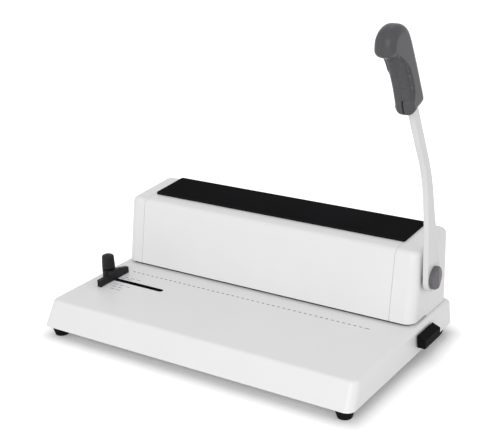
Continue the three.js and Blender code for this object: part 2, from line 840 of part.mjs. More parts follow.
function makeHead() {
  const group = new THREE.Group();
  addPiece(group, 'frame_left', frame(frameLeftOuter, frameLeftInner, frameLeftOuter), zincSheet);
  addPiece(group, 'frame_right', frameRight(), zincSheet);
  addPiece(group, 'die_plate', diePlate(), steel);
  addPiece(group, 'punch_guide', punchGuide(), steel);
  addPiece(group, 'paper_stop', block(
    barLeft, barRight, stopY, stopY + paperStopDepth, baseTop + gap, throatTop - gap,
  ), darkSteel);
  addPiece(group, 'tie_bar_lower', tieBar(tieHeights[0]), steel);
  addPiece(group, 'tie_bar_upper', tieBar(tieHeights[1]), steel);
  for (const [side, word] of [[-1, 'left'], [1, 'right']]) {
    addPiece(group, `bush_${word}`, bush(side), bronze);
    for (const [name, y, z] of boltPlaces) {
      const room = name === 'guide' ? rodInset - rodDiameter / 2 - 4 * gap : frameBoltReach - 2 * gap;
      addPiece(group, `frame_bolt_${name}_${word}`, frameBolt(side, y, z, room), darkSteel);
    }
  }
  rodPlaces.forEach((x, i) => {
    const word = ['left', 'right'][i];
    const rod = rodZ(rodDiameter / 2, guideTop - rodSeat, punchBarTop, x, punchY);
    addPiece(group, `guide_rod_${word}`, rod, steel);
    addPiece(group, `spring_${word}`, spring(x), steel);
  });
  return group;
}

// Punch bar with its spring pockets, and the comb of punches under it
function makePunch() {
  const group = new THREE.Group();
  const bar = block(
    frameLeftInner + punchBarEndGap,
    frameRightInner - punchBarEndGap,
    punchY - punchBarDepth / 2,
    punchY + punchBarDepth / 2,
    punchBarBottom,
    punchBarTop,
  );
  const rodBores = rodPlaces.map((x) => (
    rodZ(rodDiameter / 2 + gap, punchBarBottom - overrun, punchBarTop + overrun, x, punchY)
  ));
  const pockets = rodPlaces.map((x) => (
    rodZ(springPocketDiameter / 2, punchBarBottom - overrun, punchBarBottom + springPocketDepth, x, punchY)
  ));
  addPiece(group, 'punch_bar', without(bar, [...rodBores, ...pockets]), steel);
  const strip = block(
    rowMiddle - rowHalf - combStripEnd,
    rowMiddle + rowHalf + combStripEnd,
    punchY - combStripDepth / 2,
    punchY + combStripDepth / 2,
    combBottom,
    combTop,
  );
  const punches = punchPlaces.map((x) => (
    rodZ(punchDiameter / 2, punchTip, combTop - combStripThickness / 2, x, punchY, pinSides)
  ));
  addPiece(group, 'punch_comb', joined([strip, ...punches]), steel);
  return group;
}

// Cam outline about the shaft: the flat follower is pushed down in proportion to the lever's turn
function camOutline() {
  const lift = punchTravel / (leverTravel * degree);
  const end = (leverTravel + camNoseOverrun) * degree;
  const working = Array.from({ length: camSteps + 1 }, (_, i) => {
    const turn = end * i / camSteps;
    const reach = camRadius + lift * turn;
    return [
      -reach * Math.sin(turn) - lift * Math.cos(turn),
      -reach * Math.cos(turn) + lift * Math.sin(turn),
    ];
  });
  const backStart = end + degree * camNoseOverrun;
  const back = Array.from({ length: camSteps + 1 }, (_, i) => {
    const turn = backStart + cornerTurn / 2 + (2 * Math.PI - backStart - cornerTurn / 2) * i / camSteps;
    return [-camRadius * Math.sin(turn), -camRadius * Math.cos(turn)];
  });
  return [...working, ...back];
}

function cam(x) {
  const half = camThickness / 2;
  const bore = rodX(shaftDiameter / 2 + gap, x - half - overrun, x + half + overrun, 0, 0);
  return prismX(camOutline(), x - half, x + half).subtract(bore);
}

function collar(x0) {
  const bore = rodX(shaftDiameter / 2 + gap, x0 - overrun, x0 + collarWidth + overrun, 0, 0);
  return rodX(collarDiameter / 2, x0, x0 + collarWidth, 0, 0).subtract(bore);
}

// Shaft: full size up to the lever, then a spigot with a threaded bore for the lever bolt
function mainShaft() {
  const start = frameLeftOuter - shaftLeftReach;
  const body = rodX(shaftDiameter / 2, start, leverInner - gap, 0, 0);
  const spigot = rodX(spigotDiameter / 2, leverInner - overrun, leverOuter - gap, 0, 0);
  const thread = rodX(
    leverBoltDiameter / 2 + gap, leverOuter - leverBoltLength - gap, leverOuter + overrun, 0, 0, smallSides,
  );
  return body.add(spigot).subtract(thread);
}

// Lever edges as shares of the rise from the axis to the grip, from the hub up
const leverFrontShares = [
  [-0.0826, 0.03], [-0.0838, 0.19], [-0.0872, 0.3], [-0.0929, 0.39],
  [-0.115, 0.544], [-0.155, 0.68], [-0.2135, 0.8], [-0.276, 0.93], [-0.31, 1],
];
const leverRearShares = [
  [0.0826, 0.03], [0.06, 0.14], [0.0285, 0.26], [-0.0028, 0.367],
  [-0.0416, 0.55], [-0.082, 0.675], [-0.1396, 0.8], [-0.202, 0.93], [-0.235, 1],
];
const leverEntryShare = (leverFrontShares.at(-1)[0] + leverRearShares.at(-1)[0]) / 2;
const entryY = leverRise * leverEntryShare;
const tangLeanShare = -0.44;

const smooth = (shares, size, count) => (
  new THREE.SplineCurve(shares.map(([u, v]) => new THREE.Vector2(u * size, v * size)))
    .getPoints(count)
    .map(({ x, y }) => [x, y])
);

function leverOutline() {
  const hub = Array.from({ length: hubSteps + 1 }, (_, i) => {
    const turn = Math.PI * (1 + i / hubSteps);
    return [leverHubRadius * Math.cos(turn), leverHubRadius * Math.sin(turn)];
  });
  const rear = smooth(leverRearShares, leverRise, leverSteps);
  const front = smooth(leverFrontShares, leverRise, leverSteps).reverse();
  const half = tangWidth / 2;
  const tangTop = leverRise + tangRise;
  const tang = [
    [entryY + tangRise * tangLeanShare + half, tangTop],
    [entryY + tangRise * tangLeanShare - half, tangTop],
  ];
  return [...hub, ...rear, ...tang, ...front];
}

const gripScrewShares = [[-0.145, 0.3], [-0.285, 0.6]];
const gripScrewPlaces = gripScrewShares.map(([u, v]) => [entryY + u * gripSize, leverRise + v * gripSize]);

function leverArm() {
  const bar = prismX(leverOutline(), leverInner, leverOuter);
  const hubBore = rodX(spigotDiameter / 2 + gap, leverInner - overrun, leverOuter + overrun, 0, 0);
  const screwBores = gripScrewPlaces.map(([y, z]) => (
    rodX(gripScrewDiameter / 2 + gap, leverInner - overrun, leverOuter + overrun, y, z, smallSides)
  ));
  return without(bar, [hubBore, ...screwBores]);
}

// Grip outline as shares of its size, from the lever's entry: the nose hooks forward at the top
const gripShares = [
  [0.044, 0.14], [0.049, 0.2], [-0.006, 0.33], [-0.116, 0.56], [-0.201, 0.77], [-0.256, 0.86],
  [-0.336, 0.9], [-0.456, 0.885], [-0.55, 0.85], [-0.622, 0.8], [-0.655, 0.735], [-0.615, 0.675],
  [-0.526, 0.63], [-0.446, 0.55], [-0.385, 0.44], [-0.34, 0.33], [-0.287, 0.197], [-0.276, 0.06],
];

function gripBody() {
  const outline = gripShares.map(([u, v]) => [entryY + u * gripSize, leverRise + v * gripSize]);
  const half = gripThickness / 2;
  return cushionX(outline, leverMiddle - half, leverMiddle + half, gripRounding);
}

// Room for the tang: the lever's own outline, grown by the clearance
function tangRoom() {
  const half = leverThickness / 2 + gap;
  const bar = prismX(leverOutline(), leverMiddle - half, leverMiddle + half);
  const moved = [[gap, 0], [-gap, 0], [0, gap], [0, -gap]].map(([y, z]) => bar.translate([0, y, z]));
  return joined([bar, ...moved]);
}

function gripHalf(side, hollow) {
  const half = gripThickness / 2 + overrun;
  const tall = leverRise + gripSize + overrun;
  const cut = leverMiddle + side * gap / 2;
  const keep = block(
    Math.min(cut, leverMiddle + side * half),
    Math.max(cut, leverMiddle + side * half),
    -tall,
    tall,
    0,
    tall,
  );
  return without(gripBody().intersect(keep), hollow);
}

// Grip screws come in from the inner half, and end in the outer one
function gripScrew(y, z, clearance) {
  const face = leverMiddle - gripThickness / 2;
  const headSeat = face + gripScrewHeadDepth;
  const tip = leverMiddle + gripThickness / 2 - gripScrewEndWall;
  const crown = clearance > 0 ? face - overrun : face + gripScrewHeadDepth / 3;
  const shank = rodX(gripScrewDiameter / 2 + clearance, headSeat - gap, tip + clearance, y, z, smallSides);
  const head = rodX(gripScrewHeadDiameter / 2 + clearance, crown, headSeat + clearance, y, z, smallSides);
  return shank.add(head);
}

function pivotCap() {
  const seat = leverOuter + gap;
  const face = seat + pivotCapHeight;
  const radius = pivotCapDiameter / 2;
  return turnedX([
    [0, face],
    [radius - pivotCapBevel, face],
    [radius, face - pivotCapBevel],
    [radius, seat],
    [radius - pivotCapWall, seat],
    [radius - pivotCapWall, face - pivotCapWall],
    [0, face - pivotCapWall],
  ], 0, 0);
}

function leverBolt() {
  const seat = leverOuter + gap;
  const shank = rodX(
    leverBoltDiameter / 2, leverOuter - leverBoltLength, seat + gap, 0, 0, smallSides,
  );
  return shank.add(rodX(leverBoltHeadAcross / 2, seat, seat + leverBoltHeadHeight, 0, 0, hexSides));
}

function leverSpacer() {
  const x0 = housingEnd + gap;
  const x1 = leverInner - gap;
  const bore = rodX(shaftDiameter / 2 + gap, x0 - overrun, x1 + overrun, 0, 0);
  return rodX(spacerDiameter / 2, x0, x1, 0, 0).subtract(bore);
}

// The lever's own frame has its origin on the shaft axis
function makeLever() {
  const group = new THREE.Group();
  group.position.set(0, punchY, shaftZ);
  const bushRoom = gap + bushFlangeThickness + gap;
  addPiece(group, 'main_shaft', mainShaft(), steel);
  addPiece(group, 'cam_left', cam(rowMiddle - camSpread), darkSteel);
  addPiece(group, 'cam_right', cam(rowMiddle + camSpread), darkSteel);
  addPiece(group, 'shaft_collar_left', collar(frameLeftInner + bushRoom), darkSteel);
  addPiece(group, 'shaft_collar_right', collar(frameRightInner - bushRoom - collarWidth), darkSteel);
  addPiece(group, 'lever_arm', leverArm(), leverPaint);
  const screwRooms = gripScrewPlaces.map(([y, z]) => gripScrew(y, z, gap));
  const hollow = [tangRoom(), ...screwRooms];
  addPiece(group, 'grip_inner', gripHalf(-1, hollow), gripPlastic);
  addPiece(group, 'grip_outer', gripHalf(1, hollow), gripPlastic);
  gripScrewPlaces.forEach(([y, z], i) => {
    addPiece(group, `grip_screw_${['lower', 'upper'][i]}`, gripScrew(y, z, 0), darkSteel);
  });
  addPiece(group, 'pivot_cap', pivotCap(), capPlastic);
  addPiece(group, 'lever_bolt', leverBolt(), darkSteel);
  addPiece(group, 'lever_spacer', leverSpacer(), blackPlastic);
  return group;
}

// Edge guide, with its origin on the knob axis at the base top
function guideFence() {
  const front = -fenceLength * (1 - fenceRearShare);
  const rear = fenceLength * fenceRearShare;
  const ramp = guideBossHeight - fenceFrontHeight;
  const fence = prismX([
    [front, gap],
    [rear, gap],
    [rear, fenceRearHeight],
    [fenceMiddleHalf, guideBossHeight],
    [-fenceMiddleHalf, guideBossHeight],
    [-fenceMiddleHalf - ramp, fenceFrontHeight],
    [front, fenceFrontHeight],
  ], fenceReach - fenceThickness, fenceReach);
  const boss = rodZ(guideBossDiameter / 2, gap, guideBossHeight, 0, 0);
  const bore = rodZ(studDiameter / 2 + gap, -overrun, guideBossHeight + overrun, 0, 0, smallSides);
  return boss.add(fence).subtract(bore);
}

const knobEdgeShares = [0.3, 0.7];
const knobDomeShare = 0.25;

function guideKnob() {
  const foot = guideBossHeight + gap;
  const radius = knobDiameter / 2;
  const topRadius = radius - knobTaper;
  const top = foot + knobHeight;
  const shoulder = top - knobDome - knobEdgeRadius;
  const boreTop = foot + knobBoreDepth;
  const boreRadius = studDiameter / 2 + gap;
  return turned([
    [boreRadius, foot],
    [radius - knobGroove, foot],
    [radius - knobGroove, foot + knobGroove],
    [radius, foot + 2 * knobGroove],
    [topRadius, shoulder],
    [topRadius - knobEdgeRadius * knobEdgeShares[0], shoulder + knobEdgeRadius * knobEdgeShares[1]],
    [topRadius - knobEdgeRadius, shoulder + knobEdgeRadius],
    [topRadius / 2, top - knobDome * knobDomeShare],
    [0, top],
    [0, boreTop],
    [boreRadius, boreTop],
    [boreRadius, foot],
  ]);
}

const nutTop = -baseWall - gap;

function guideNut() {
  const half = guideNutSize / 2;
  const bore = rodZ(
    studDiameter / 2 + gap, nutTop - guideNutThickness - overrun, nutTop + overrun, 0, 0, smallSides,
  );
  return block(-half, half, -half, half, nutTop - guideNutThickness, nutTop).subtract(bore);
}

function makeGuide() {
  const group = new THREE.Group();
  group.position.set(knobX, guideY, baseTop);
  addPiece(group, 'guide_fence', guideFence(), blackPlastic);
  addPiece(group, 'guide_nut', guideNut(), darkSteel);
  addPiece(group, 'guide_knob', guideKnob(), blackPlastic);
  const studTop = guideBossHeight + knobBoreDepth;
  addPiece(group, 'guide_stud', rodZ(
    studDiameter / 2, nutTop - guideNutThickness - gap, studTop, 0, 0, smallSides,
  ), steel);
  return group;
}

// Chip tray: an open box on two rails, with a pull at its right end
function chipTray() {
  const box = block(trayLeft, trayRight, trayFront, trayRear, trayBottom, trayTop);
  return box.subtract(block(
    trayLeft + trayWall,
    trayRight - trayWall,
    trayFront + trayWall,
    trayRear - trayWall,
    trayBottom + trayWall,
    trayTop + overrun,
  ));
}

function trayPull() {
  const face = halfLength + gap;
  const outer = halfLength + pullReach;
  const low = footHeight + pullRise;
  const front = pullMiddleY - pullDepth / 2;
  const rear = pullMiddleY + pullDepth / 2;
  const lip = prismY([
    [face, low],
    [outer, low],
    [outer, low + pullOuterHeight],
    [face, low + pullHeight],
  ], front, rear);
  const pocket = block(
    face + pullWall,
    outer - pullWall,
    front + pullWall,
    rear - pullWall,
    low - overrun,
    low + pullPocketHeight,
  );
  const neck = block(
    trayRight + gap,
    face + pullWall / 2,
    trayFront + trayWall,
    trayRear - trayWall,
    trayBottom + trayWall,
    trayTop - gap,
  );
  return lip.subtract(pocket).add(neck);
}

// A rail: a foot on the bottom plate, an upright and a lip that the tray runs on
function trayRail(y, side) {
  const foot = plateTop + gap;
  const top = trayBottom - gap;
  const at = (reach) => y + side * reach;
  return prismX([
    [at(0), foot],
    [at(railWidth), foot],
    [at(railWidth), foot + railThickness],
    [at(railThickness), foot + railThickness],
    [at(railThickness), top - railThickness],
    [at(railLip), top - railThickness],
    [at(railLip), top],
    [at(0), top],
  ], frameLeftOuter + frameFlangeWidth + gap, frameRightOuter - frameFlangeWidth - gap);
}

function makeTray() {
  const group = new THREE.Group();
  addPiece(group, 'chip_tray', chipTray(), zincSheet);
  addPiece(group, 'tray_pull', trayPull(), blackPlastic);
  addPiece(group, 'tray_rail_front', trayRail(trayFront, 1), zincSheet);
  addPiece(group, 'tray_rail_rear', trayRail(trayRear, -1), zincSheet);
  return group;
}

// The whole machine stands on its feet with the middle of its box over the origin
const machine = new THREE.Group();
machine.add(makeBase(), makeHousing(), makeHead(), makePunch(), makeLever(), makeGuide(), makeTray());
const reachRight = Math.max(
  leverMiddle + gripThickness / 2, leverOuter + gap + pivotCapHeight, halfLength + pullReach,
);
machine.position.set((halfLength - reachRight) / 2, (baseFrontReach - baseRearReach) / 2, 0);

export default machine;
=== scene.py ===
import json
import math

import bmesh
import bpy
from mathutils import Matrix, Vector


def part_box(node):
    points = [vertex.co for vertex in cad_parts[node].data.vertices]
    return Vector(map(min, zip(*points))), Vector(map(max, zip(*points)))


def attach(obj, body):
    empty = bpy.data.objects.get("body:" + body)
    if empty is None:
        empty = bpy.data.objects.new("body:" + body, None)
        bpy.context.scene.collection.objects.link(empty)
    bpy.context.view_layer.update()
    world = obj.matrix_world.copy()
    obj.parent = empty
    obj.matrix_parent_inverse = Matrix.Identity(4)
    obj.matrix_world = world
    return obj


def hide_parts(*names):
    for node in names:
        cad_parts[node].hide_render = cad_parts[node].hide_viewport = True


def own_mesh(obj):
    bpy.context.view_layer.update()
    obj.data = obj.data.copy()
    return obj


# Visual model of a coil binding machine, built round the solids of the CAD frame
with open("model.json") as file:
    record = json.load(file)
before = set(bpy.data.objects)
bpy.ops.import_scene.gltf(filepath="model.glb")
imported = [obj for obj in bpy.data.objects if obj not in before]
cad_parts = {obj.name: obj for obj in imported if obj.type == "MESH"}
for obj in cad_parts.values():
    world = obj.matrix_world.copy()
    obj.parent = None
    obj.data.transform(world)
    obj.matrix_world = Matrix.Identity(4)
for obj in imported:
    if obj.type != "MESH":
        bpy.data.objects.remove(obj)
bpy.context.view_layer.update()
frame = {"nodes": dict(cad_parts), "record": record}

# Sizes are in millimetres in the drawing's own frame and become metres in the shared frame
MM = 0.001
SHIFT_X, SHIFT_Y = -4.6, 4.0
GAP = 0.3

# Base, slot and feet
HALF_LENGTH, BASE_FRONT, BASE_REAR = 185.6, -116.0, 108.0
END_LEAN, FRONT_LEAN = 1.2, 12.1
FOOT_HEIGHT, BASE_TOP = 12.0, 37.1
BASE_CORNER, BASE_BEND, WALL = 9.0, 4.5, 1.6
FLANK_TOP = BASE_TOP - BASE_BEND
KNOB_X, GUIDE_Y = -166.3, -26.0
SLOT_LEFT, SLOT_RIGHT, SLOT_HALF = KNOB_X - 3.3, KNOB_X + 74.3, 3.25
CORNER_MARGIN = 0.01
FEET = {
    "front_left": (-171.7, -102.3),
    "front_right": (171.7, -102.3),
    "rear_left": (-171.7, 94.3),
    "rear_right": (171.7, 94.3),
}

# Housing, frames, shaft and the row of holes
HOUSING_END, HOUSING_FRONT, HOUSING_REAR = 179.0, 21.8, 106.0
HOUSING_CORNER, HOUSING_EDGE, HOUSING_REAR_EDGE = 11.0, 6.0, 2.4
TOP_FRONT_Y, TOP_FRONT_Z, TOP_REAR_Z = 35.0, 111.3, 115.6
LEFT_SEAM, RIGHT_SEAM = -158.1, 153.3
SKIRT_BOTTOM, THROAT_TOP, STOP_Y = 35.1, 39.6, 54.9
BAR_FRONT, FRAME_REAR, FRAME_FOOT_REAR = 42.3, 104.1, 88.0
FRAME_LEFT, FRAME_RIGHT = -170.0, 151.4
PUNCH_Y, SHAFT_Z, SHAFT_HOLE = 51.4, 82.5, 6.3
ROW_MIDDLE, ROW_HALF, PITCH, HOLES = -9.3, 142.875, 6.35, 46
TOP_SLOPE = (TOP_REAR_Z - TOP_FRONT_Z) / (HOUSING_REAR - TOP_FRONT_Y)
LEAN = (TOP_FRONT_Y - HOUSING_FRONT) / (HOUSING_REAR - HOUSING_FRONT) / (TOP_FRONT_Z - THROAT_TOP)

# Lever and tray
LEVER_INNER, LEVER_OUTER, LEVER_RISE = 181.7, 187.3, 175.5
LEVER_MIDDLE = (LEVER_INNER + LEVER_OUTER) / 2
TRAY_Y, TRAY_BOTTOM, TRAY_TOP, TRAY_DEPTH = 38.9, 20.0, 27.4, 30.0

# How far a cutter starts inside a sheet, ends outside it, and goes past a whole piece
CUT_IN, CUT_OUT, WELL_PAST = 4, 2, 5


def place(x, y, z):
    """A point of the drawing, as metres in the shared frame."""
    return ((x + SHIFT_X) * MM, (y + SHIFT_Y) * MM, z * MM)


def drawn(point):
    """A point of the shared frame, as millimetres in the drawing."""
    return (point.x / MM - SHIFT_X, point.y / MM - SHIFT_Y, point.z / MM)


# Materials

CLOUD_SCALE, GLOSS_SPREAD, RELIEF_DEPTH = 14.0, 0.12, 0.0002


def surface(
    name, color, rough, metal=0.0, tint=0.03, grain=900.0, bump=0.06, stretch=(1, 1, 1), specular=0.5
):
    """A finish whose tone, gloss and fine relief all vary over the surface."""
    material = bpy.data.materials.new(name)
    material.use_nodes = True
    nodes, links = material.node_tree.nodes, material.node_tree.links
    shader = nodes["Principled BSDF"]
    shader.inputs["Metallic"].default_value = metal
    shader.inputs["Specular IOR Level"].default_value = specular
    coords = nodes.new("ShaderNodeTexCoord")
    mapping = nodes.new("ShaderNodeMapping")
    mapping.inputs["Scale"].default_value = stretch
    links.new(coords.outputs["Object"], mapping.inputs["Vector"])

    cloud = nodes.new("ShaderNodeTexNoise")
    cloud.inputs["Scale"].default_value = CLOUD_SCALE
    cloud.inputs["Detail"].default_value = 4.0
    links.new(mapping.outputs["Vector"], cloud.inputs["Vector"])
    fine = nodes.new("ShaderNodeTexNoise")
    fine.inputs["Scale"].default_value = grain
    fine.inputs["Detail"].default_value = 3.0
    links.new(mapping.outputs["Vector"], fine.inputs["Vector"])

    tone = nodes.new("ShaderNodeValToRGB")
    low, high = tone.color_ramp.elements
    low.position, high.position = 0.3, 0.7
    low.color = (*[c * (1 - tint) for c in color], 1)
    high.color = (*[min(1.0, c * (1 + tint)) for c in color], 1)
    links.new(cloud.outputs["Fac"], tone.inputs["Fac"])
    links.new(tone.outputs["Color"], shader.inputs["Base Color"])

    gloss = nodes.new("ShaderNodeMapRange")
    gloss.inputs["To Min"].default_value = rough * (1 - GLOSS_SPREAD)
    gloss.inputs["To Max"].default_value = min(1.0, rough * (1 + GLOSS_SPREAD))
    links.new(fine.outputs["Fac"], gloss.inputs["Value"])
    links.new(gloss.outputs["Result"], shader.inputs["Roughness"])

    relief = nodes.new("ShaderNodeBump")
    relief.inputs["Strength"].default_value = bump
    relief.inputs["Distance"].default_value = RELIEF_DEPTH
    links.new(fine.outputs["Fac"], relief.inputs["Height"])
    links.new(relief.outputs["Normal"], shader.inputs["Normal"])
    return material


def ink_and_shade(name, color, rough, specular):
    """A printed mark's finish, which also gives the black of the painted shade in the throat."""
    return surface(name, color, rough, tint=0.12, grain=2500, bump=0.02, specular=specular)


WHITE = (0.787, 0.78, 0.785)
FINISH = {
    "white_paint": surface(
        "white_paint_finish", WHITE, 0.36, tint=0.012, grain=700, bump=0.05, specular=0.35
    ),
    "white_plastic": surface(
        "white_plastic_finish", WHITE, 0.42, tint=0.012, grain=1100, bump=0.06, specular=0.3
    ),
    "lever_paint": surface(
        "lever_paint_finish", (0.7, 0.697, 0.703), 0.38, tint=0.015, grain=700, bump=0.05
    ),
    "panel_black": surface(
        "panel_finish", (0.0125, 0.012, 0.013), 0.75, tint=0.12, grain=1500, bump=0.22, specular=0.0
    ),
    "black_plastic": surface(
        "black_plastic_finish", (0.009, 0.0085, 0.01), 0.5,
        tint=0.12, grain=1400, bump=0.14, specular=0.22,
    ),
    "grip_plastic": surface(
        "grip_finish", (0.074, 0.072, 0.078), 0.34, tint=0.06, grain=1500, bump=0.2, specular=0.2
    ),
    "cap_plastic": surface(
        "cap_finish", (0.12, 0.112, 0.124), 0.46, tint=0.05, grain=1300, bump=0.1, specular=0.3
    ),
    "foot_rubber": surface(
        "rubber_finish", (0.007, 0.007, 0.007), 0.82, tint=0.2, grain=1200, bump=0.25, specular=0.08
    ),
    "steel": surface(
        "steel_finish", (0.56, 0.57, 0.58), 0.3,
        metal=1.0, tint=0.05, grain=500, bump=0.08, stretch=(0.06, 1, 1),
    ),
    "dark_steel": surface(
        "dark_steel_finish", (0.15, 0.155, 0.165), 0.42, metal=1.0, tint=0.08, grain=900, bump=0.08
    ),
    "zinc_sheet": surface(
        "zinc_finish", (0.54, 0.55, 0.56), 0.38, metal=1.0, tint=0.07, grain=260, bump=0.06
    ),
    "bronze": surface(
        "bronze_finish", (0.43, 0.27, 0.1), 0.36, metal=1.0, tint=0.08, grain=1200, bump=0.12
    ),
}
PULL_BLACK = surface(
    "pull_finish", (0.006, 0.006, 0.006), 0.6, tint=0.12, grain=1400, bump=0.14, specular=0.03
)
INK_GREY = ink_and_shade("ink_grey", (0.07, 0.07, 0.08), 0.5, 0.3)
INK_BLUE = ink_and_shade("ink_blue", (0.13, 0.16, 0.26), 0.5, 0.3)
# The black for the throat's band, which is painted shade under the housing's front edge
THROAT_SHADE_BLACK = ink_and_shade("painted_throat_shade_finish", (0.012, 0.012, 0.013), 0.7, 0.1)

# Mesh tools

# Points closer together than this, in metres, become one
WELD = 1e-7
# A quarter of a turn, and the steps that a rounded edge takes over it
QUARTER = math.pi / 2
BEND_STEPS = 8
BENDS = [i / BEND_STEPS * QUARTER for i in range(BEND_STEPS + 1)]


def make(name, points, faces):
    """A mesh from points of the drawing, with doubles joined and the faces turned outwards."""
    mesh = bpy.data.meshes.new(name)
    mesh.from_pydata([place(*p) for p in points], [], faces)
    work = bmesh.new()
    work.from_mesh(mesh)
    bmesh.ops.remove_doubles(work, verts=work.verts, dist=WELD)
    loose = [edge for edge in work.edges if not edge.link_faces]
    bmesh.ops.delete(work, geom=loose, context="EDGES")
    bmesh.ops.recalc_face_normals(work, faces=work.faces)
    work.to_mesh(mesh)
    work.free()
    piece = bpy.data.objects.new(name, mesh)
    bpy.context.scene.collection.objects.link(piece)
    return piece


def loft(name, rings, ends=True):
    """A skin over rings of equally many points, with the first and last ring closed by a face."""
    count = len(rings[0])
    points = [p for ring in rings for p in ring]
    faces = []
    for k in range(len(rings) - 1):
        for i in range(count):
            a, b = k * count + i, k * count + (i + 1) % count
            faces.append((a, b, b + count, a + count))
    if ends:
        last = (len(rings) - 1) * count
        faces.append(tuple(reversed(range(count))))
        faces.append(tuple(range(last, last + count)))
    return make(name, points, faces)


def block(x0, x1, y0, y1, z0, z1):
    ring = [(x0, y0), (x1, y0), (x1, y1), (x0, y1)]
    return loft("cutter", [[(x, y, z0) for x, y in ring], [(x, y, z1) for x, y in ring]])


def prism_x(name, outline, x0, x1):
    return loft(name, [[(x0, y, z) for y, z in outline], [(x1, y, z) for y, z in outline]])


def prism_y(name, outline, y0, y1):
    return loft(name, [[(x, y0, z) for x, z in outline], [(x, y1, z) for x, z in outline]])


def lathe(name, profile, centre, axis="z", sides=64, flutes=None):
    """A profile of (radius, height) turned about an axis; flutes is (count, depth, low, high)."""
    rings = []
    for radius, height in profile:
        ring = []
        for i in range(sides):
            turn = 2 * math.pi * i / sides
            r = radius
            if flutes:
                count, depth, low, high = flutes
                if low <= height <= high:
                    r -= depth * (0.5 - 0.5 * math.cos(count * turn)) ** 2
            u, v = r * math.cos(turn), r * math.sin(turn)
            spot = {"x": (height, u, v), "y": (u, height, v), "z": (u, v, height)}[axis]
            ring.append(tuple(c + s for c, s in zip(centre, spot)))
        rings.append(ring)
    return loft(name, rings)


def applied(piece):
    """Bakes the modifiers of a piece into its mesh."""
    shown = piece.evaluated_get(bpy.context.evaluated_depsgraph_get())
    mesh = bpy.data.meshes.new_from_object(shown)
    old = piece.data
    piece.modifiers.clear()
    piece.data = mesh
    bpy.data.meshes.remove(old)
    return piece


def carve(piece, *cuts):
    """Applies (operation, cutter) pairs in turn; each cutter is used up."""
    for operation, cutter in cuts:
        modifier = piece.modifiers.new("cut", "BOOLEAN")
        modifier.operation, modifier.solver, modifier.object = operation, "EXACT", cutter
        applied(piece)
        bpy.data.objects.remove(cutter)
    return piece


def dress(piece, body, slot, nodes=(), bevel=0.0, steps=2, angle=32, finish=None):
    """Rounds the edges, sets the finish, and makes the piece ride on its body."""
    piece.data.materials.clear()
    piece.data.materials.append(finish or FINISH[slot])
    for face in piece.data.polygons:
        face.use_smooth = True
        face.material_index = 0
    piece.data.set_sharp_from_angle(angle=math.radians(angle))
    if bevel:
        edge = piece.modifiers.new("edge", "BEVEL")
        edge.width, edge.segments = bevel * MM, steps
        edge.limit_method, edge.angle_limit = "ANGLE", math.radians(angle)
        edge.use_clamp_overlap = True
        even = piece.modifiers.new("even", "WEIGHTED_NORMAL")
        even.keep_sharp = True
    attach(piece, body)
    if nodes:
        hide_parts(*nodes)
    return piece


def plan(x0, x1, y0, y1, radius, steps=14):
    """Points of a rounded rectangle, each as (x, y, nx, ny) with the way it faces."""
    corners = [
        (x1 - radius, y1 - radius),
        (x0 + radius, y1 - radius),
        (x0 + radius, y0 + radius),
        (x1 - radius, y0 + radius),
    ]
    made = []
    for quarter, (cx, cy) in enumerate(corners):
        for i in range(steps + 1):
            turn = (quarter + i / steps) * QUARTER
            nx, ny = math.cos(turn), math.sin(turn)
            made.append((cx + radius * nx, cy + radius * ny, nx, ny))
    return made


def soft_step(share):
    """0 up to a share of 0, 1 from a share of 1, and a soft rise between."""
    share = min(1.0, max(0.0, share))
    return share * share * (3 - 2 * share)


# Forms that several pieces share


def base_rings(inset, bottom):
    """The base's form: the bend runs into the leaning flank, which goes down to the lower edge."""

    def outline(share):
        return plan(
            -HALF_LENGTH + END_LEAN * (1 - share) + inset,
            HALF_LENGTH - END_LEAN * (1 - share) - inset,
            BASE_FRONT + FRONT_LEAN * (1 - share) + inset,
            BASE_REAR - inset,
            BASE_CORNER - inset,
        )

    bend = BASE_BEND - inset
    flank = FLANK_TOP - FOOT_HEIGHT
    rings = [[(x, y, bottom) for x, y, _, _ in outline((FLANK_TOP - bottom) / flank)]]
    for turn in BENDS:
        ring = []
        for x, y, nx, ny in outline(0):
            lean = math.atan((END_LEAN * abs(nx) + FRONT_LEAN * max(-ny, 0)) / flank)
            angle = lean + turn * (1 - lean / QUARTER)
            inwards = bend * (1 / math.cos(lean) - math.cos(angle))
            z = BASE_TOP - inset - bend * (1 - math.sin(angle))
            ring.append((x - nx * inwards, y - ny * inwards, z))
        rings.append(ring)
    return rings


def top_z(y):
    """Height of the housing's sloping top at a depth."""
    return TOP_FRONT_Z + TOP_SLOPE * (y - TOP_FRONT_Y)


def leaned_y(y, z):
    """Where a depth at the throat comes to lie at a height, as the housing's front leans back."""
    return HOUSING_REAR - (HOUSING_REAR - y) * (1 - LEAN * (z - THROAT_TOP))


def leaned_top(y, drop):
    """Height at which the leaning face from a depth at the throat is a drop below the top."""
    reach = HOUSING_REAR - y
    level = top_z(HOUSING_REAR - reach - reach * LEAN * THROAT_TOP) - drop
    return level / (1 - TOP_SLOPE * reach * LEAN)


def housing_rings(inset, bottom):
    """The housing's form, from its lower edge up the leaning faces and over the rounded edge."""
    outline = plan(
        -HOUSING_END + inset,
        HOUSING_END - inset,
        HOUSING_FRONT + inset,
        HOUSING_REAR - inset,
        HOUSING_CORNER - inset,
    )
    rings = [[(x, leaned_y(y, bottom), bottom) for x, y, _, _ in outline]]
    for angle in BENDS:
        ring = []
        for x, y, nx, ny in outline:
            rearward = max(ny, 0)
            edge = HOUSING_EDGE + (HOUSING_REAR_EDGE - HOUSING_EDGE) * rearward - inset
            px = x - nx * edge * (1 - math.cos(angle))
            py = y - ny * edge * (1 - math.cos(angle))
            z = leaned_top(py, inset + edge * (1 - math.sin(angle)))
            ring.append((px, leaned_y(py, z), z))
        rings.append(ring)
    return rings


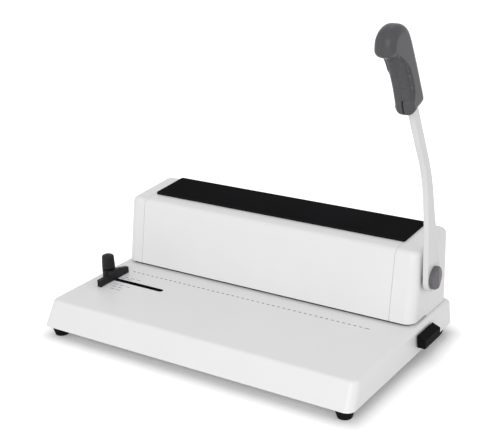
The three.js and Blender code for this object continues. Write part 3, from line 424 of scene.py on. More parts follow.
def slot_outline(inset):
    """The slot's outline, whose corners are a little smaller than its half so that none meet."""
    half = SLOT_HALF - inset
    x0, x1, y0, y1 = SLOT_LEFT + inset, SLOT_RIGHT - inset, GUIDE_Y - half, GUIDE_Y + half
    return [(x, y) for x, y, _, _ in plan(x0, x1, y0, y1, half - CORNER_MARGIN, steps=8)]


# Base

TRAY_CLEARANCE = 0.4

# Half of a foot's section as (radius, height), from the hollow in its tread to its push-in stud
FOOT_SECTION = [
    (0, 1.5), (3.2, 1.5), (3.5, 1.2), (3.5, 0.3), (3.8, 0), (6.5, 0), (7.0, 0.2), (7.25, 0.8),
    (7.7, 2.4), (8.6, 5.5), (9.6, 8.9), (10.25, 11.1), (10.2, 11.5), (9.9, 11.7), (3, 11.7),
    (3, 13.9), (4.2, 13.9), (1.8, 17.4), (0, 17.4),
]


def base_cover():
    shell = loft("base_cover_skin", base_rings(0, FOOT_HEIGHT)[::-1] + base_rings(WALL, FOOT_HEIGHT))
    low, high = BASE_TOP - CUT_IN, BASE_TOP + CUT_OUT
    slot = loft("cutter", [[(x, y, z) for x, y in slot_outline(0)] for z in (low, high)])
    window = block(
        FRAME_LEFT - GAP, FRAME_RIGHT + GAP, BAR_FRONT - GAP, FRAME_FOOT_REAR + GAP, low, high
    )
    half = TRAY_DEPTH / 2 + TRAY_CLEARANCE
    opening = block(
        HALF_LENGTH - CUT_IN, HALF_LENGTH + CUT_OUT, TRAY_Y - half, TRAY_Y + half,
        TRAY_BOTTOM - TRAY_CLEARANCE, TRAY_TOP + GAP,
    )
    carve(shell, ("DIFFERENCE", slot), ("DIFFERENCE", window), ("DIFFERENCE", opening))
    return dress(shell, "base", "white_paint", ["base_cover"], bevel=0.25)


def foot(name, x, y):
    made = lathe(f"foot_{name}_skin", FOOT_SECTION, (x, y, 0), sides=56)
    return dress(made, "base", "foot_rubber", [f"foot_{name}"])


# Housing

# A cutter that goes over the whole housing ends at this height
ABOVE_HOUSING = 125
HOUSING_BEVEL = 0.22

SCREW_SPREAD = 0.77 * ROW_HALF
SCREW_RADIUS, SCREW_HEIGHT = 3.0, 1.5
SCREW_ROWS = {"lower": 50.0, "upper": 100.0}
# Half of the head's section, and its cross recess, as shares of the radius and the height
SCREW_SHARES = [(0, 0), (0.96, 0), (1, 0.12), (0.93, 0.5), (0.7, 0.82), (0.4, 0.96), (0, 1)]
RECESS_ARM, RECESS_HALF, RECESS_FLOOR = 0.6, 0.12, 0.55
# How far the recess's cutter ends above the head
RECESS_PAST = 1

PANEL_LEFT, PANEL_RIGHT = LEFT_SEAM + 1.7, RIGHT_SEAM + 0.9
PANEL_FRONT, PANEL_REAR = TOP_FRONT_Y + 18.9, HOUSING_REAR - 2
PANEL_CORNER, PANEL_LEAST_CORNER, CORNER_LOSS = 2, 0.4, 0.6
# The panel's edge as (inset, height), from its underside over the raised rim to the face
PANEL_EDGE = [
    (0, 0), (0, 1.7), (0.12, 2.05), (0.35, 2.32), (0.7, 2.46), (1.1, 2.5), (1.9, 2.5), (2.2, 2.2),
    (2.5, 2.05),
]


def between(x0, x1, y0, y1):
    return block(x0, x1, y0, y1, SKIRT_BOTTOM - CUT_OUT, ABOVE_HOUSING)


def housing_slice(name, slice_box, cuts):
    """The part of the whole housing, with its flange over the throat, that lies in a box."""
    shell = loft(name, housing_rings(0, SKIRT_BOTTOM)[::-1] + housing_rings(WALL, SKIRT_BOTTOM))
    flange = loft("cutter", housing_rings(WALL / 2, SKIRT_BOTTOM))
    sheet = block(-HALF_LENGTH, HALF_LENGTH, BASE_FRONT, BAR_FRONT - GAP, THROAT_TOP, THROAT_TOP + WALL)
    carve(flange, ("INTERSECT", sheet))
    carve(shell, ("UNION", flange), ("INTERSECT", slice_box))
    return carve(shell, *[("DIFFERENCE", cut) for cut in cuts])


def around_base():
    return loft("cutter", base_rings(-GAP, FOOT_HEIGHT))


def below_throat(rear):
    end = HALF_LENGTH + WELL_PAST
    return block(-end, end, BASE_FRONT, rear, SKIRT_BOTTOM - WELL_PAST, THROAT_TOP)


def housing():
    left = housing_slice(
        "left_cap_skin",
        between(-HALF_LENGTH, LEFT_SEAM - GAP / 2, BASE_FRONT, BASE_REAR),
        [around_base(), below_throat(STOP_Y)],
    )
    dress(left, "base", "white_plastic", ["left_cap"], bevel=HOUSING_BEVEL)
    low, high = HOUSING_END - WELL_PAST, HOUSING_END + CUT_OUT
    section = [(0, low), (SHAFT_HOLE, low), (SHAFT_HOLE, high), (0, high)]
    bore = lathe("cutter", section, (0, PUNCH_Y, SHAFT_Z), axis="x", sides=48)
    right = housing_slice(
        "right_cap_skin",
        between(RIGHT_SEAM + GAP / 2, HALF_LENGTH, BASE_FRONT, BASE_REAR),
        [around_base(), below_throat(STOP_Y), bore],
    )
    dress(right, "base", "white_plastic", ["right_cap"], bevel=HOUSING_BEVEL)
    front = housing_slice(
        "front_cover_skin",
        between(LEFT_SEAM + GAP / 2, RIGHT_SEAM - GAP / 2, BASE_FRONT, FRAME_REAR),
        [below_throat(BASE_REAR)],
    )
    dress(front, "base", "white_paint", ["front_cover"], bevel=HOUSING_BEVEL)
    rear = housing_slice(
        "rear_cover_skin",
        between(LEFT_SEAM + GAP / 2, RIGHT_SEAM - GAP / 2, FRAME_REAR + GAP, BASE_REAR),
        [around_base()],
    )
    dress(rear, "base", "white_paint", ["rear_cover"], bevel=HOUSING_BEVEL)


def rear_screw(node, x, z):
    """A low domed head with a cross recess, on the rear cover."""
    seat = HOUSING_REAR + GAP
    section = [(SCREW_RADIUS * r, SCREW_HEIGHT * h) for r, h in SCREW_SHARES]
    head = lathe(f"{node}_skin", section, (x, seat, z), axis="y", sides=40)
    arm, half = SCREW_RADIUS * RECESS_ARM, SCREW_RADIUS * RECESS_HALF
    low, high = seat + RECESS_FLOOR * SCREW_HEIGHT, seat + (SCREW_HEIGHT + RECESS_PAST)
    for across, up in ((arm, half), (half, arm)):
        carve(head, ("DIFFERENCE", block(x - across, x + across, low, high, z - up, z + up)))
    return dress(head, "base", "dark_steel", [node], bevel=0.08)


def top_panel():
    length = PANEL_RIGHT - PANEL_LEFT
    depth = (PANEL_REAR - PANEL_FRONT) * math.hypot(1, TOP_SLOPE)
    tilt = math.atan(TOP_SLOPE)
    seat = top_z(PANEL_FRONT) + GAP
    rings = []
    for inset, lift in PANEL_EDGE:
        radius = max(PANEL_CORNER - inset * CORNER_LOSS, PANEL_LEAST_CORNER)
        ring = []
        for x, y, _, _ in plan(inset, length - inset, inset, depth - inset, radius, steps=8):
            ring.append((
                PANEL_LEFT + x,
                PANEL_FRONT + y * math.cos(tilt) - lift * math.sin(tilt),
                seat + y * math.sin(tilt) + lift * math.cos(tilt),
            ))
        rings.append(ring)
    return dress(loft("top_panel_skin", rings), "base", "panel_black", ["top_panel"], angle=50)


# Lever

HUB_RADIUS, HUB_STEPS, EDGE_STEPS = 14.5, 32, 60
TANG_LENGTH, TANG_SLOPE, TANG_HALF = 62, 0.44, 5

# The lever's two edges as shares of its rise, from beside the shaft up to where it enters the grip
LEVER_FRONT_SHARES = [
    (-0.0826, 0.03), (-0.0838, 0.19), (-0.0872, 0.3), (-0.0929, 0.39),
    (-0.115, 0.544), (-0.155, 0.68), (-0.2135, 0.8), (-0.276, 0.93), (-0.31, 1),
]
LEVER_REAR_SHARES = [
    (0.0826, 0.03), (0.06, 0.14), (0.0285, 0.26), (-0.0028, 0.367),
    (-0.0416, 0.55), (-0.082, 0.675), (-0.1396, 0.8), (-0.202, 0.93), (-0.235, 1),
]
ENTRY_Y = LEVER_RISE * (LEVER_FRONT_SHARES[-1][0] + LEVER_REAR_SHARES[-1][0]) / 2
ENTRY = (PUNCH_Y + ENTRY_Y, SHAFT_Z + LEVER_RISE)


def spline(points, count):
    """A smooth line through the points."""
    made = []
    spans = len(points) - 1
    for k in range(count + 1):
        t = k / count * spans
        i = min(int(t), spans - 1)
        w = t - i
        start, end = points[i], points[i + 1]
        before = points[i - 1] if i else start
        after = points[i + 2] if i + 2 <= spans else end
        spot = []
        for a, b, c, d in zip(before, start, end, after):
            v0, v1 = (c - a) / 2, (d - b) / 2
            spot.append(
                (2 * b - 2 * c + v0 + v1) * w**3 + (-3 * b + 3 * c - 2 * v0 - v1) * w**2 + v0 * w + b
            )
        made.append(tuple(spot))
    return made


def lever_arm():
    hub = []
    for i in range(HUB_STEPS + 1):
        turn = math.pi * (1 + i / HUB_STEPS)
        hub.append((HUB_RADIUS * math.cos(turn), HUB_RADIUS * math.sin(turn)))
    rear = [(u * LEVER_RISE, v * LEVER_RISE) for u, v in spline(LEVER_REAR_SHARES, EDGE_STEPS)]
    front = [(u * LEVER_RISE, v * LEVER_RISE) for u, v in spline(LEVER_FRONT_SHARES, EDGE_STEPS)]
    tang_y, tang_z = ENTRY_Y - TANG_LENGTH * TANG_SLOPE, LEVER_RISE + TANG_LENGTH
    tang = [(tang_y + TANG_HALF, tang_z), (tang_y - TANG_HALF, tang_z)]
    outline = [(PUNCH_Y + y, SHAFT_Z + z) for y, z in hub + rear + tang + front[::-1]]
    bar = prism_x("lever_arm_skin", outline, LEVER_INNER, LEVER_OUTER)
    return dress(bar, "lever", "lever_paint", ["lever_arm"], bevel=1.0, steps=4, angle=40)


# Grip

GRIP_SIZE, GRIP_HALF, GRIP_ROUND, GRIP_STEPS = 100, 10.0, 7.5, 7
# The grip reaches this much lower than the box of its solids
HEEL_DROP = 3
# The halves lie this far from the middle of the lever
HALVES_APART = 0.06

# The outline as shares of the grip's size, from where the lever enters it: under the heel, up the
# rear edge, round the nose and down the front edge
GRIP_SHARES = [
    (-0.12, 0.07), (-0.01, 0.1), (0.04, 0.14), (0.03, 0.2), (-0.03, 0.32), (-0.1, 0.47),
    (-0.17, 0.61), (-0.24, 0.75), (-0.31, 0.85), (-0.42, 0.9), (-0.54, 0.88), (-0.62, 0.82),
    (-0.65, 0.74), (-0.65, 0.65), (-0.59, 0.62), (-0.48, 0.6), (-0.4, 0.51), (-0.35, 0.4),
    (-0.3, 0.3), (-0.26, 0.19), (-0.23, 0.1), (-0.21, 0.05), (-0.18, 0.04),
]
GRIP_OUTLINE = [(ENTRY[0] + u * GRIP_SIZE, ENTRY[1] + v * GRIP_SIZE) for u, v in GRIP_SHARES]
# The front edge begins under the nose, and is kept here from the heel upwards
FRONT_START = 14
GRIP_FRONT = GRIP_OUTLINE[FRONT_START:][::-1]

# The finger inset: its middle height, half height, reach behind the front edge and depth
INSET_MIDDLE, INSET_HALF, INSET_REACH, INSET_DEPTH = 296.5, 23.0, 10.0, 1.25
# It starts this far inwards of the lever's middle, and takes this width to reach its full depth
INSET_START, INSET_SLOPE = 8, 9
# Shares of the inset taken by its sloping rim and by the stretch in which the ridges fade out
RIM_SHARE, FADE_SHARE = 0.09, 0.4
RIDGES = (314.0, 302.0, 290.2, 278.4)
RIDGE_HALF, RIDGE_TILT, RIDGE_SHARE = 1.7, 0.25, 0.95

# The slit between the halves, cut from ahead of the front edge into the heel
SLIT_HALF, SLIT_TOP, SLIT_AHEAD, SLIT_DEPTH = 0.7, 276.0, 9, 6


def cut_corners(points, rounds, share):
    """Each corner of a closed outline is cut back by a share of its edges, again and again."""
    for _ in range(rounds):
        made = []
        for i, (y, z) in enumerate(points):
            ny, nz = points[(i + 1) % len(points)]
            made.append((y + (ny - y) * share, z + (nz - z) * share))
            made.append((ny - (ny - y) * share, nz - (nz - z) * share))
        points = made
    return points


def grip_front(z):
    """The depth of the grip's front edge at a height."""
    for (y0, z0), (y1, z1) in zip(GRIP_FRONT, GRIP_FRONT[1:]):
        if z0 <= z <= z1:
            return y0 + (y1 - y0) * (z - z0) / (z1 - z0)
    return GRIP_FRONT[0][0] if z < GRIP_FRONT[0][1] else GRIP_FRONT[-1][0]


def grip_relief(x, y, z):
    """How far the finger inset lies below the surface, with the ridges that stand in it."""
    behind = y - grip_front(z)
    reach = math.hypot(max(behind, 0) / INSET_REACH, (z - INSET_MIDDLE) / INSET_HALF)
    if reach >= 1:
        return 0.0
    outward = soft_step((x - LEVER_MIDDLE + INSET_START) / INSET_SLOPE)
    sunk = INSET_DEPTH * outward * soft_step((1 - reach) / RIM_SHARE)
    lift = 0.0
    for ridge in RIDGES:
        lift = max(lift, math.exp(-(((z - ridge + RIDGE_TILT * behind) / RIDGE_HALF) ** 2)))
    fade = min(1.0, (1 - reach) / FADE_SHARE)
    return sunk * (1 - RIDGE_SHARE * lift * fade)


def grip_body():
    """The whole grip in one mesh, with rounded sides and the finger inset."""
    outline = cut_corners(GRIP_OUTLINE, rounds=3, share=0.25)
    count = len(outline)
    normals = []
    for i in range(count):
        (ay, az), (by, bz) = outline[i - 1], outline[(i + 1) % count]
        size = math.hypot(by - ay, bz - az)
        normals.append(((bz - az) / size, (ay - by) / size))
    rings = []
    steps = [i / GRIP_STEPS * QUARTER for i in range(GRIP_STEPS + 1)]
    for side in (-1, 1):
        for angle in steps if side > 0 else steps[::-1]:
            inwards = GRIP_ROUND * (1 - math.cos(angle))
            x = LEVER_MIDDLE + side * (GRIP_HALF - GRIP_ROUND * (1 - math.sin(angle)))
            rings.append([
                (x, y - ny * inwards, z - nz * inwards) for (y, z), (ny, nz) in zip(outline, normals)
            ])
    body = loft("grip_body", rings)
    mesh = body.modifiers.new("even", "REMESH")
    mesh.mode, mesh.voxel_size = "VOXEL", 0.75 * MM
    soft = body.modifiers.new("soft", "SMOOTH")
    soft.factor, soft.iterations = 0.5, 3
    applied(body)
    moves = [(v, v.normal * (grip_relief(*drawn(v.co)) * MM)) for v in body.data.vertices]
    for vertex, move in moves:
        vertex.co -= move
    low, high = list(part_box("grip_inner")[0]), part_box("grip_outer")[1]
    low[2] -= HEEL_DROP * MM
    for vertex in body.data.vertices:
        vertex.co = Vector(min(max(c, a), b) for c, a, b in zip(vertex.co, low, high))
    return body


def grip():
    """The two halves of the grip, with a slit between them at the front of the heel."""
    body = grip_body()
    heel = grip_front(SLIT_TOP)
    for name, sign in (("inner", -1), ("outer", 1)):
        part = bpy.data.objects.new(f"grip_{name}_skin", body.data.copy())
        bpy.context.scene.collection.objects.link(part)
        work = bmesh.new()
        work.from_mesh(part.data)
        cut = bmesh.ops.bisect_plane(
            work,
            geom=work.verts[:] + work.edges[:] + work.faces[:],
            plane_co=place(LEVER_MIDDLE + sign * HALVES_APART, 0, 0),
            plane_no=(sign, 0, 0),
            clear_inner=True,
        )
        rim = [edge for edge in cut["geom_cut"] if isinstance(edge, bmesh.types.BMEdge)]
        bmesh.ops.contextual_create(work, geom=rim)
        work.to_mesh(part.data)
        work.free()
        slit = block(
            LEVER_MIDDLE - SLIT_HALF, LEVER_MIDDLE + SLIT_HALF, heel - SLIT_AHEAD, heel + SLIT_DEPTH,
            ENTRY[1] - WELL_PAST, SLIT_TOP,
        )
        carve(part, ("DIFFERENCE", slit))
        dress(part, "lever", "grip_plastic", [f"grip_{name}"], angle=50)
    bpy.data.objects.remove(body)


# Pivot cap

CAP_RADIUS, CAP_FACE, CAP_RIDGE, CAP_ROOF = 11.8, 3.7, 5.2, 2.9
# Points of the section above this height are raised towards the ridge
RAISED_FROM = 3.62
# Half the width of the ridge's slopes, and the share of the radius in which it falls to the edge
RIDGE_SPREAD, RIDGE_END_SHARE = 9.6, 0.12
# Half of the cap's section as (radius, height), from the hollow inside over the rim to the face
CAP_SECTION = [(0, CAP_ROOF), (10.2, CAP_ROOF), (10.2, 0), (11.5, 0), (CAP_RADIUS, 0.3)]
CAP_SECTION += [(CAP_RADIUS, 2.9), (11.5, 3.4), (10.9, 3.6), (10.4, 3.65)]
CAP_SECTION += [(radius, CAP_FACE) for radius in (9, 7, 5, 3, 1.5, 0)]


def pivot_cap():
    """A round cap whose face rises to a ridge across the middle."""
    seat = LEVER_OUTER + GAP
    cap = lathe("pivot_cap_skin", CAP_SECTION, (seat, PUNCH_Y, SHAFT_Z), axis="x", sides=72)
    for vertex in cap.data.vertices:
        x, y, z = drawn(vertex.co)
        if x - seat > RAISED_FROM:
            out = math.hypot(y - PUNCH_Y, z - SHAFT_Z) / CAP_RADIUS
            slope = max(0.0, 1 - abs(y - PUNCH_Y) / RIDGE_SPREAD)
            vertex.co.x += (CAP_RIDGE - CAP_FACE) * slope * min(1.0, (1 - out) / RIDGE_END_SHARE) * MM
    return dress(cap, "lever", "cap_plastic", ["pivot_cap"], angle=28)


# Edge guide; heights are above the base's top

FENCE_FRONT, FENCE_REAR, FENCE_HEIGHT, FENCE_REAR_HEIGHT = -25.92, 22.08, 8, 7.2
FENCE_LEFT, FENCE_RIGHT = KNOB_X + 5, KNOB_X + 9.8
BOSS_RADIUS, BOSS_TOP, BOSS_FLAT, STUD_RADIUS = 7.2, 11.2, 5.4, 2.4

# The knob's profile: a foot ring, a skirt that narrows upwards with flutes, and a domed top
KNOB_FOOT, KNOB_SKIRT, KNOB_BORE_TOP = 11.5, 13.0, 21.5
SKIRT_RADIUS, SKIRT_TAPER, SKIRT_HEIGHT, SKIRT_STEPS = 7.3, 0.6, 12.5, 12
KNOB_DOME = [(6.5, 26.2), (6.1, 26.8), (5.3, 27.3), (4, 27.8), (2.4, 28.2), (1, 28.45), (0, 28.5)]
FLUTES = (24, 0.22, 13.1, 25.4)


def guide_fence():
    outline = [
        (FENCE_FRONT, GAP), (FENCE_REAR, GAP), (FENCE_REAR, FENCE_REAR_HEIGHT),
        (BOSS_FLAT, BOSS_TOP), (-BOSS_FLAT, BOSS_TOP),
        (-BOSS_FLAT - (BOSS_TOP - FENCE_HEIGHT), FENCE_HEIGHT), (FENCE_FRONT, FENCE_HEIGHT),
    ]
    outline = [(GUIDE_Y + y, BASE_TOP + z) for y, z in outline]
    fence = prism_x("guide_fence_skin", outline, FENCE_LEFT, FENCE_RIGHT)
    centre = (KNOB_X, GUIDE_Y, BASE_TOP)
    section = [(0, GAP), (BOSS_RADIUS, GAP), (BOSS_RADIUS, BOSS_TOP), (0, BOSS_TOP)]
    boss = lathe("cutter", section, centre)
    low, high = -CUT_OUT, BOSS_TOP + CUT_OUT
    section = [(0, low), (STUD_RADIUS, low), (STUD_RADIUS, high), (0, high)]
    bore = lathe("cutter", section, centre, sides=32)
    carve(fence, ("UNION", boss), ("DIFFERENCE", bore))
    return dress(fence, "guide", "black_plastic", ["guide_fence"], bevel=0.45, steps=3, angle=25)


def guide_knob():
    section = [(0, KNOB_BORE_TOP), (STUD_RADIUS, KNOB_BORE_TOP), (STUD_RADIUS, KNOB_FOOT)]
    section += [(6.4, KNOB_FOOT), (6.6, KNOB_FOOT + 0.2), (6.6, KNOB_FOOT + 0.7)]
    section += [(7.1, KNOB_FOOT + 1.2), (SKIRT_RADIUS, KNOB_SKIRT)]
    for i in range(1, SKIRT_STEPS + 1):
        share = i / SKIRT_STEPS
        section.append((SKIRT_RADIUS - SKIRT_TAPER * share, KNOB_SKIRT + SKIRT_HEIGHT * share))
    section += KNOB_DOME
    knob = lathe("guide_knob_skin", section, (KNOB_X, GUIDE_Y, BASE_TOP), sides=144, flutes=FLUTES)
    return dress(knob, "knob", "black_plastic", ["guide_knob"], angle=60)


# Chip tray; the pull hangs on the base's right end

PULL_FRONT, PULL_REAR, PULL_LOW = 19.0, 54.4, 19.5
PULL_INNER, PULL_OUTER = HALF_LENGTH + GAP, HALF_LENGTH + 9.2
PULL_EDGE_HEIGHT, PULL_HEIGHT = 9.4, 13.2
PULL_WALL, POCKET_TOP = 2.2, 6.5
NECK_INNER, NECK_OUTER, NECK_HALF = 180.9, PULL_INNER + 1.1, 14
NECK_LOW, NECK_HIGH = TRAY_BOTTOM + 1, TRAY_TOP - GAP


def tray_pull():
    outline = [
        (PULL_INNER, PULL_LOW), (PULL_OUTER, PULL_LOW),
        (PULL_OUTER, PULL_LOW + PULL_EDGE_HEIGHT), (PULL_INNER, PULL_LOW + PULL_HEIGHT),
    ]
    lip = prism_y("tray_pull_skin", outline, PULL_FRONT, PULL_REAR)
    pocket = block(
        PULL_INNER + PULL_WALL, PULL_OUTER - PULL_WALL, PULL_FRONT + PULL_WALL, PULL_REAR - PULL_WALL,
        PULL_LOW - CUT_OUT, PULL_LOW + POCKET_TOP,
    )
    neck = block(
        NECK_INNER, NECK_OUTER, TRAY_Y - NECK_HALF, TRAY_Y + NECK_HALF, NECK_LOW, NECK_HIGH
    )
    carve(lip, ("DIFFERENCE", pocket), ("UNION", neck))
    return dress(
        lip, "tray", "black_plastic", ["tray_pull"], bevel=0.6, steps=3, angle=25, finish=PULL_BLACK
    )


# Springs; a spring's solid begins at its seat and loses the punch bar's travel from its length

SPRINGS = {"spring_left": -160.4, "spring_right": 141.8}
COIL_LOW, COIL_HIGH, COIL_RADIUS, WIRE_RADIUS, COILS = 48.4, 67.4, 3.6, 0.5, 5
COIL_STEPS, WIRE_SIDES = 32, 12


def spring(name, x):
    steps = COILS * COIL_STEPS
    rings = []
    for k in range(steps + 1):
        share = k / steps
        turn = share * COILS * 2 * math.pi
        out = Vector((math.cos(turn), math.sin(turn), 0))
        centre = Vector((x, PUNCH_Y, COIL_LOW + (COIL_HIGH - COIL_LOW) * share)) + out * COIL_RADIUS
        ring = []
        for i in range(WIRE_SIDES):
            a = 2 * math.pi * i / WIRE_SIDES
            side = out * math.cos(a) + Vector((0, 0, 1)) * math.sin(a)
            ring.append(tuple(centre + side * WIRE_RADIUS))
        rings.append(ring)
    made = dress(loft(f"{name}_skin", rings), "base", "steel", [name], angle=60)
    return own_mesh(made)


# Printed marks, and black pieces that are painted shade in the slot and under the throat, which are in
# the scene alone

# Heights of the thin layer that carries the print and the painted shade
FLAT_LAYER_LOW, FLAT_LAYER_HIGH = BASE_TOP - 0.02, BASE_TOP + 0.03
DASH_HALF, DASH_FRONT, DASH_REAR = 1.5, 0.0, 1.2
# The longer mark after the last dash, as distances from the last hole, and its rear edge
END_MARK_START, END_MARK_END, END_MARK_REAR = 4.6, 10.1, 1.0
MARK_STEP, MARK_LENGTH, MARK_HALF = 8.2, 5.4, 0.4
# Rows of scale marks: the distance behind the slot's middle, the first mark and how many
SCALE_ROWS = [(-10.5, -151, 3), (-16.0, -149, 2), (-21.5, -147, 2), (6.0, -154, 2), (9.6, -152, 3)]
# The slot's black lining, which is painted shade on the slot's wall: its insets from the wall, and how
# far its top lies below the base's
SLOT_SHADE_OUTER, SLOT_SHADE_INNER, SLOT_SHADE_DROP = 0.01, 0.25, 0.1
# The throat's black band, which is painted shade on the base under the housing's front edge; its ends
# beside the frames overlap it a little
BAND_END, BAND_FRONT, BAND_REAR = HOUSING_END - 2.5, HOUSING_FRONT + 2.5, BAR_FRONT - 0.6
BAND_CORNER, BAND_OVERLAP = HOUSING_CORNER - 0.5, 0.01
FRAME_CLEARANCE, STOP_CLEARANCE = 1, 0.4


BOX_FACES = [(3, 2, 1, 0), (4, 5, 6, 7), (0, 1, 5, 4), (1, 2, 6, 5), (2, 3, 7, 6), (3, 0, 4, 7)]


def bars(name, boxes, finish):
    """Flat boxes of (x0, x1, y0, y1, z0, z1) in one mesh."""
    points, faces = [], []
    for x0, x1, y0, y1, z0, z1 in boxes:
        first = len(points)
        points += [(x, y, z) for z in (z0, z1) for x, y in ((x0, y0), (x1, y0), (x1, y1), (x0, y1))]
        faces += [tuple(first + i for i in face) for face in BOX_FACES]
    return dress(make(name, points, faces), "base", "white_paint", finish=finish)


def printed_marks():
    dashes = []
    for i in range(HOLES):
        x = ROW_MIDDLE - ROW_HALF + i * PITCH
        dashes.append((x - DASH_HALF, x + DASH_HALF, DASH_FRONT, DASH_REAR, FLAT_LAYER_LOW, FLAT_LAYER_HIGH))
    x0, x1 = ROW_MIDDLE + ROW_HALF + END_MARK_START, ROW_MIDDLE + ROW_HALF + END_MARK_END
    dashes.append((x0, x1, DASH_FRONT, END_MARK_REAR, FLAT_LAYER_LOW, FLAT_LAYER_HIGH))
    bars("printed_dashes", dashes, INK_GREY)
    scale = []
    for offset, start, count in SCALE_ROWS:
        y = GUIDE_Y + offset
        for i in range(count):
            x = start + i * MARK_STEP
            scale.append((x, x + MARK_LENGTH, y - MARK_HALF, y + MARK_HALF, FLAT_LAYER_LOW, FLAT_LAYER_HIGH))
    bars("printed_scale", scale, INK_BLUE)


def painted_slot_shade():
    """A thin black strip round the wall of the slot, which is painted shade inside the slot."""
    rings = []
    for inset, drop in (
        (SLOT_SHADE_OUTER, WALL), (SLOT_SHADE_OUTER, SLOT_SHADE_DROP), (SLOT_SHADE_INNER, SLOT_SHADE_DROP),
        (SLOT_SHADE_INNER, WALL), (SLOT_SHADE_OUTER, WALL),
    ):
        rings.append([(x, y, BASE_TOP - drop) for x, y in slot_outline(inset)])
    dress(loft("painted_slot_shade", rings, ends=False), "base", "black_plastic")


def painted_throat_shade():
    """A black band on the base, which the paper slides over inside the throat; it is painted shade under
    the housing's front edge.
    """
    outline = plan(-BAND_END, BAND_END, BAND_FRONT, 2 * STOP_Y - BAND_FRONT, BAND_CORNER)
    ahead = [(x, y) for x, y, _, _ in outline if y < BAND_REAR]
    ring = [(-BAND_END, BAND_REAR)] + ahead + [(BAND_END, BAND_REAR)]
    band = loft("painted_throat_shade", [[(x, y, z) for x, y in ring] for z in (FLAT_LAYER_LOW, FLAT_LAYER_HIGH)])
    dress(band, "base", "white_paint", finish=THROAT_SHADE_BLACK)
    # The ends beside the frames carry the same painted shade further back
    front, rear = BAND_REAR - BAND_OVERLAP, STOP_Y - STOP_CLEARANCE
    sides = []
    for x0, x1 in ((-BAND_END, FRAME_LEFT - FRAME_CLEARANCE), (FRAME_RIGHT + FRAME_CLEARANCE, BAND_END)):
        sides.append((x0, x1, front, rear, FLAT_LAYER_LOW, FLAT_LAYER_HIGH))
    bars("painted_throat_shade_ends", sides, THROAT_SHADE_BLACK)


# All pieces

base_cover()
for foot_name, (foot_x, foot_y) in FEET.items():
    foot(foot_name, foot_x, foot_y)
housing()
top_panel()
for row, height in SCREW_ROWS.items():
    for side, sign in (("left", -1), ("right", 1)):
        rear_screw(f"rear_cover_screw_{row}_{side}", ROW_MIDDLE + sign * SCREW_SPREAD, height)
lever_arm()
grip()
pivot_cap()
guide_fence()
guide_knob()
tray_pull()
for spring_name, spring_x in SPRINGS.items():
    spring(spring_name, spring_x)
printed_marks()
painted_slot_shade()
painted_throat_shade()

# The solids that stay visible take the finish that the record gives them
slots = {part["node"]: part["material_slot"] for part in frame["record"]["subparts"]}
for node, solid in frame["nodes"].items():
    if not solid.hide_render:
        if not solid.material_slots:
            solid.data.materials.append(None)
        for holder in solid.material_slots:
            holder.material = FINISH[slots[node]]

# Floor

FLOOR_HALF = 6000
# Half of the rectangle under the object in which the floor keeps its shadow, and the width of the
# stretch round it in which the floor is lifted to white, in metres
SHADOW_HALF = (0.18, 0.105, 0)
LIFT_WIDTH, LEAST_LIFT, FULL_LIFT = 0.032, 0.06, 0.5


def seen_directly(tree):
    """1 for rays from the camera, from a mirror-like face or through glass, and 0 for all others."""
    path = tree.nodes.new("ShaderNodeLightPath")
    total = path.outputs["Is Camera Ray"]
    for kind in ("Is Glossy Ray", "Is Transmission Ray"):
        add = tree.nodes.new("ShaderNodeMath")
        add.operation, add.use_clamp = "ADD", True
        tree.links.new(total, add.inputs[0])
        tree.links.new(path.outputs[kind], add.inputs[1])
        total = add.outputs["Value"]
    return total


def white_floor():
    """A pale floor that is seen as white away from the object, and keeps its shadow near it."""
    material = surface(
        "floor_finish", (0.94, 0.94, 0.94), 0.8, tint=0.004, grain=300, bump=0.01, specular=0.1
    )
    tree = material.node_tree
    coords = tree.nodes.new("ShaderNodeTexCoord")
    spot = coords.outputs["Object"]
    for operation, value in (("ABSOLUTE", None), ("SUBTRACT", SHADOW_HALF), ("MAXIMUM", (0, 0, 0))):
        step = tree.nodes.new("ShaderNodeVectorMath")
        step.operation = operation
        tree.links.new(spot, step.inputs[0])
        if value:
            step.inputs[1].default_value = value
        spot = step.outputs["Vector"]
    far = tree.nodes.new("ShaderNodeVectorMath")
    far.operation = "LENGTH"
    tree.links.new(spot, far.inputs[0])
    lift = tree.nodes.new("ShaderNodeMapRange")
    lift.inputs["From Min"].default_value = 0.0
    lift.inputs["From Max"].default_value = LIFT_WIDTH
    lift.inputs["To Min"].default_value = LEAST_LIFT
    lift.inputs["To Max"].default_value = FULL_LIFT
    tree.links.new(far.outputs["Value"], lift.inputs["Value"])
    seen = tree.nodes.new("ShaderNodeMath")
    seen.operation = "MULTIPLY"
    tree.links.new(lift.outputs["Result"], seen.inputs[0])
    tree.links.new(seen_directly(tree), seen.inputs[1])
    shader = tree.nodes["Principled BSDF"]
    shader.inputs["Emission Color"].default_value = (1, 1, 1, 1)
    tree.links.new(seen.outputs["Value"], shader.inputs["Emission Strength"])
    return material


floor_corners = [(x * FLOOR_HALF, y * FLOOR_HALF, 0) for x, y in ((-1, -1), (1, -1), (1, 1), (-1, 1))]
floor = make("floor", floor_corners, [(0, 1, 2, 3)])
floor.data.materials.append(white_floor())

# World and lamps

WORLD_LEVEL, SEEN_LEVEL = 0.7, 1.0
LAMP_AIM = (0, 0, 0.06)

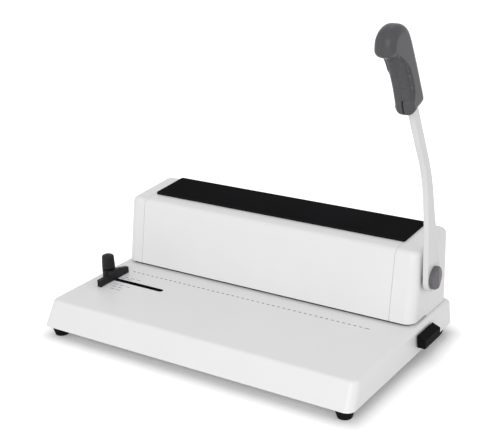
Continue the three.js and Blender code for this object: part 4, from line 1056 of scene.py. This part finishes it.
world = bpy.data.worlds.new("studio")
world.use_nodes = True
sky = world.node_tree.nodes["Background"]
sky.inputs["Color"].default_value = (1, 1, 1, 1)
level = world.node_tree.nodes.new("ShaderNodeMapRange")
level.inputs["To Min"].default_value = WORLD_LEVEL
level.inputs["To Max"].default_value = SEEN_LEVEL
world.node_tree.links.new(seen_directly(world.node_tree), level.inputs["Value"])
world.node_tree.links.new(level.outputs["Result"], sky.inputs["Strength"])
bpy.context.scene.world = world


def area_light(name, spot, size, power):
    data = bpy.data.lights.new(name, "AREA")
    data.shape, data.size, data.energy = "DISK", size, power
    lamp = bpy.data.objects.new(name, data)
    bpy.context.scene.collection.objects.link(lamp)
    lamp.location = spot
    lamp.rotation_euler = (Vector(LAMP_AIM) - Vector(spot)).to_track_quat("-Z", "Y").to_euler()


area_light("front", (0.5, -2.0, 1.15), size=1.4, power=19)
area_light("side", (2.0, -0.2, 1.1), size=1.2, power=2.0)

# Camera; its angles are in degrees, and its reach and aim are in the drawing's millimetres

SENSOR, LENS = 36.0, 81.80
AZIMUTH, ELEVATION, ROLL = 34.374, 20.533, -2.1025
REACH, AIM = 1267.32, Vector((-82.036, 112.617, 70.0))

eye = bpy.data.cameras.new("camera")
eye.sensor_width, eye.lens = SENSOR, LENS
eye.clip_start, eye.clip_end = 0.05, 50
camera = bpy.data.objects.new("camera", eye)
bpy.context.scene.collection.objects.link(camera)
azimuth, elevation, roll = (math.radians(angle) for angle in (AZIMUTH, ELEVATION, ROLL))
level_reach = math.cos(elevation)
back = Vector((
    math.sin(azimuth) * level_reach, -math.cos(azimuth) * level_reach, math.sin(elevation)
))
across = Vector((math.cos(azimuth), math.sin(azimuth), 0))
upright = back.cross(across)
right = across * math.cos(roll) + upright * math.sin(roll)
up = upright * math.cos(roll) - across * math.sin(roll)
turn = Matrix((right, up, back)).transposed().to_4x4()
camera.matrix_world = Matrix.Translation(place(*(AIM + back * REACH))) @ turn
bpy.context.scene.camera = camera
bpy.context.scene.view_settings.view_transform = "Standard"

bpy.context.view_layer.update()
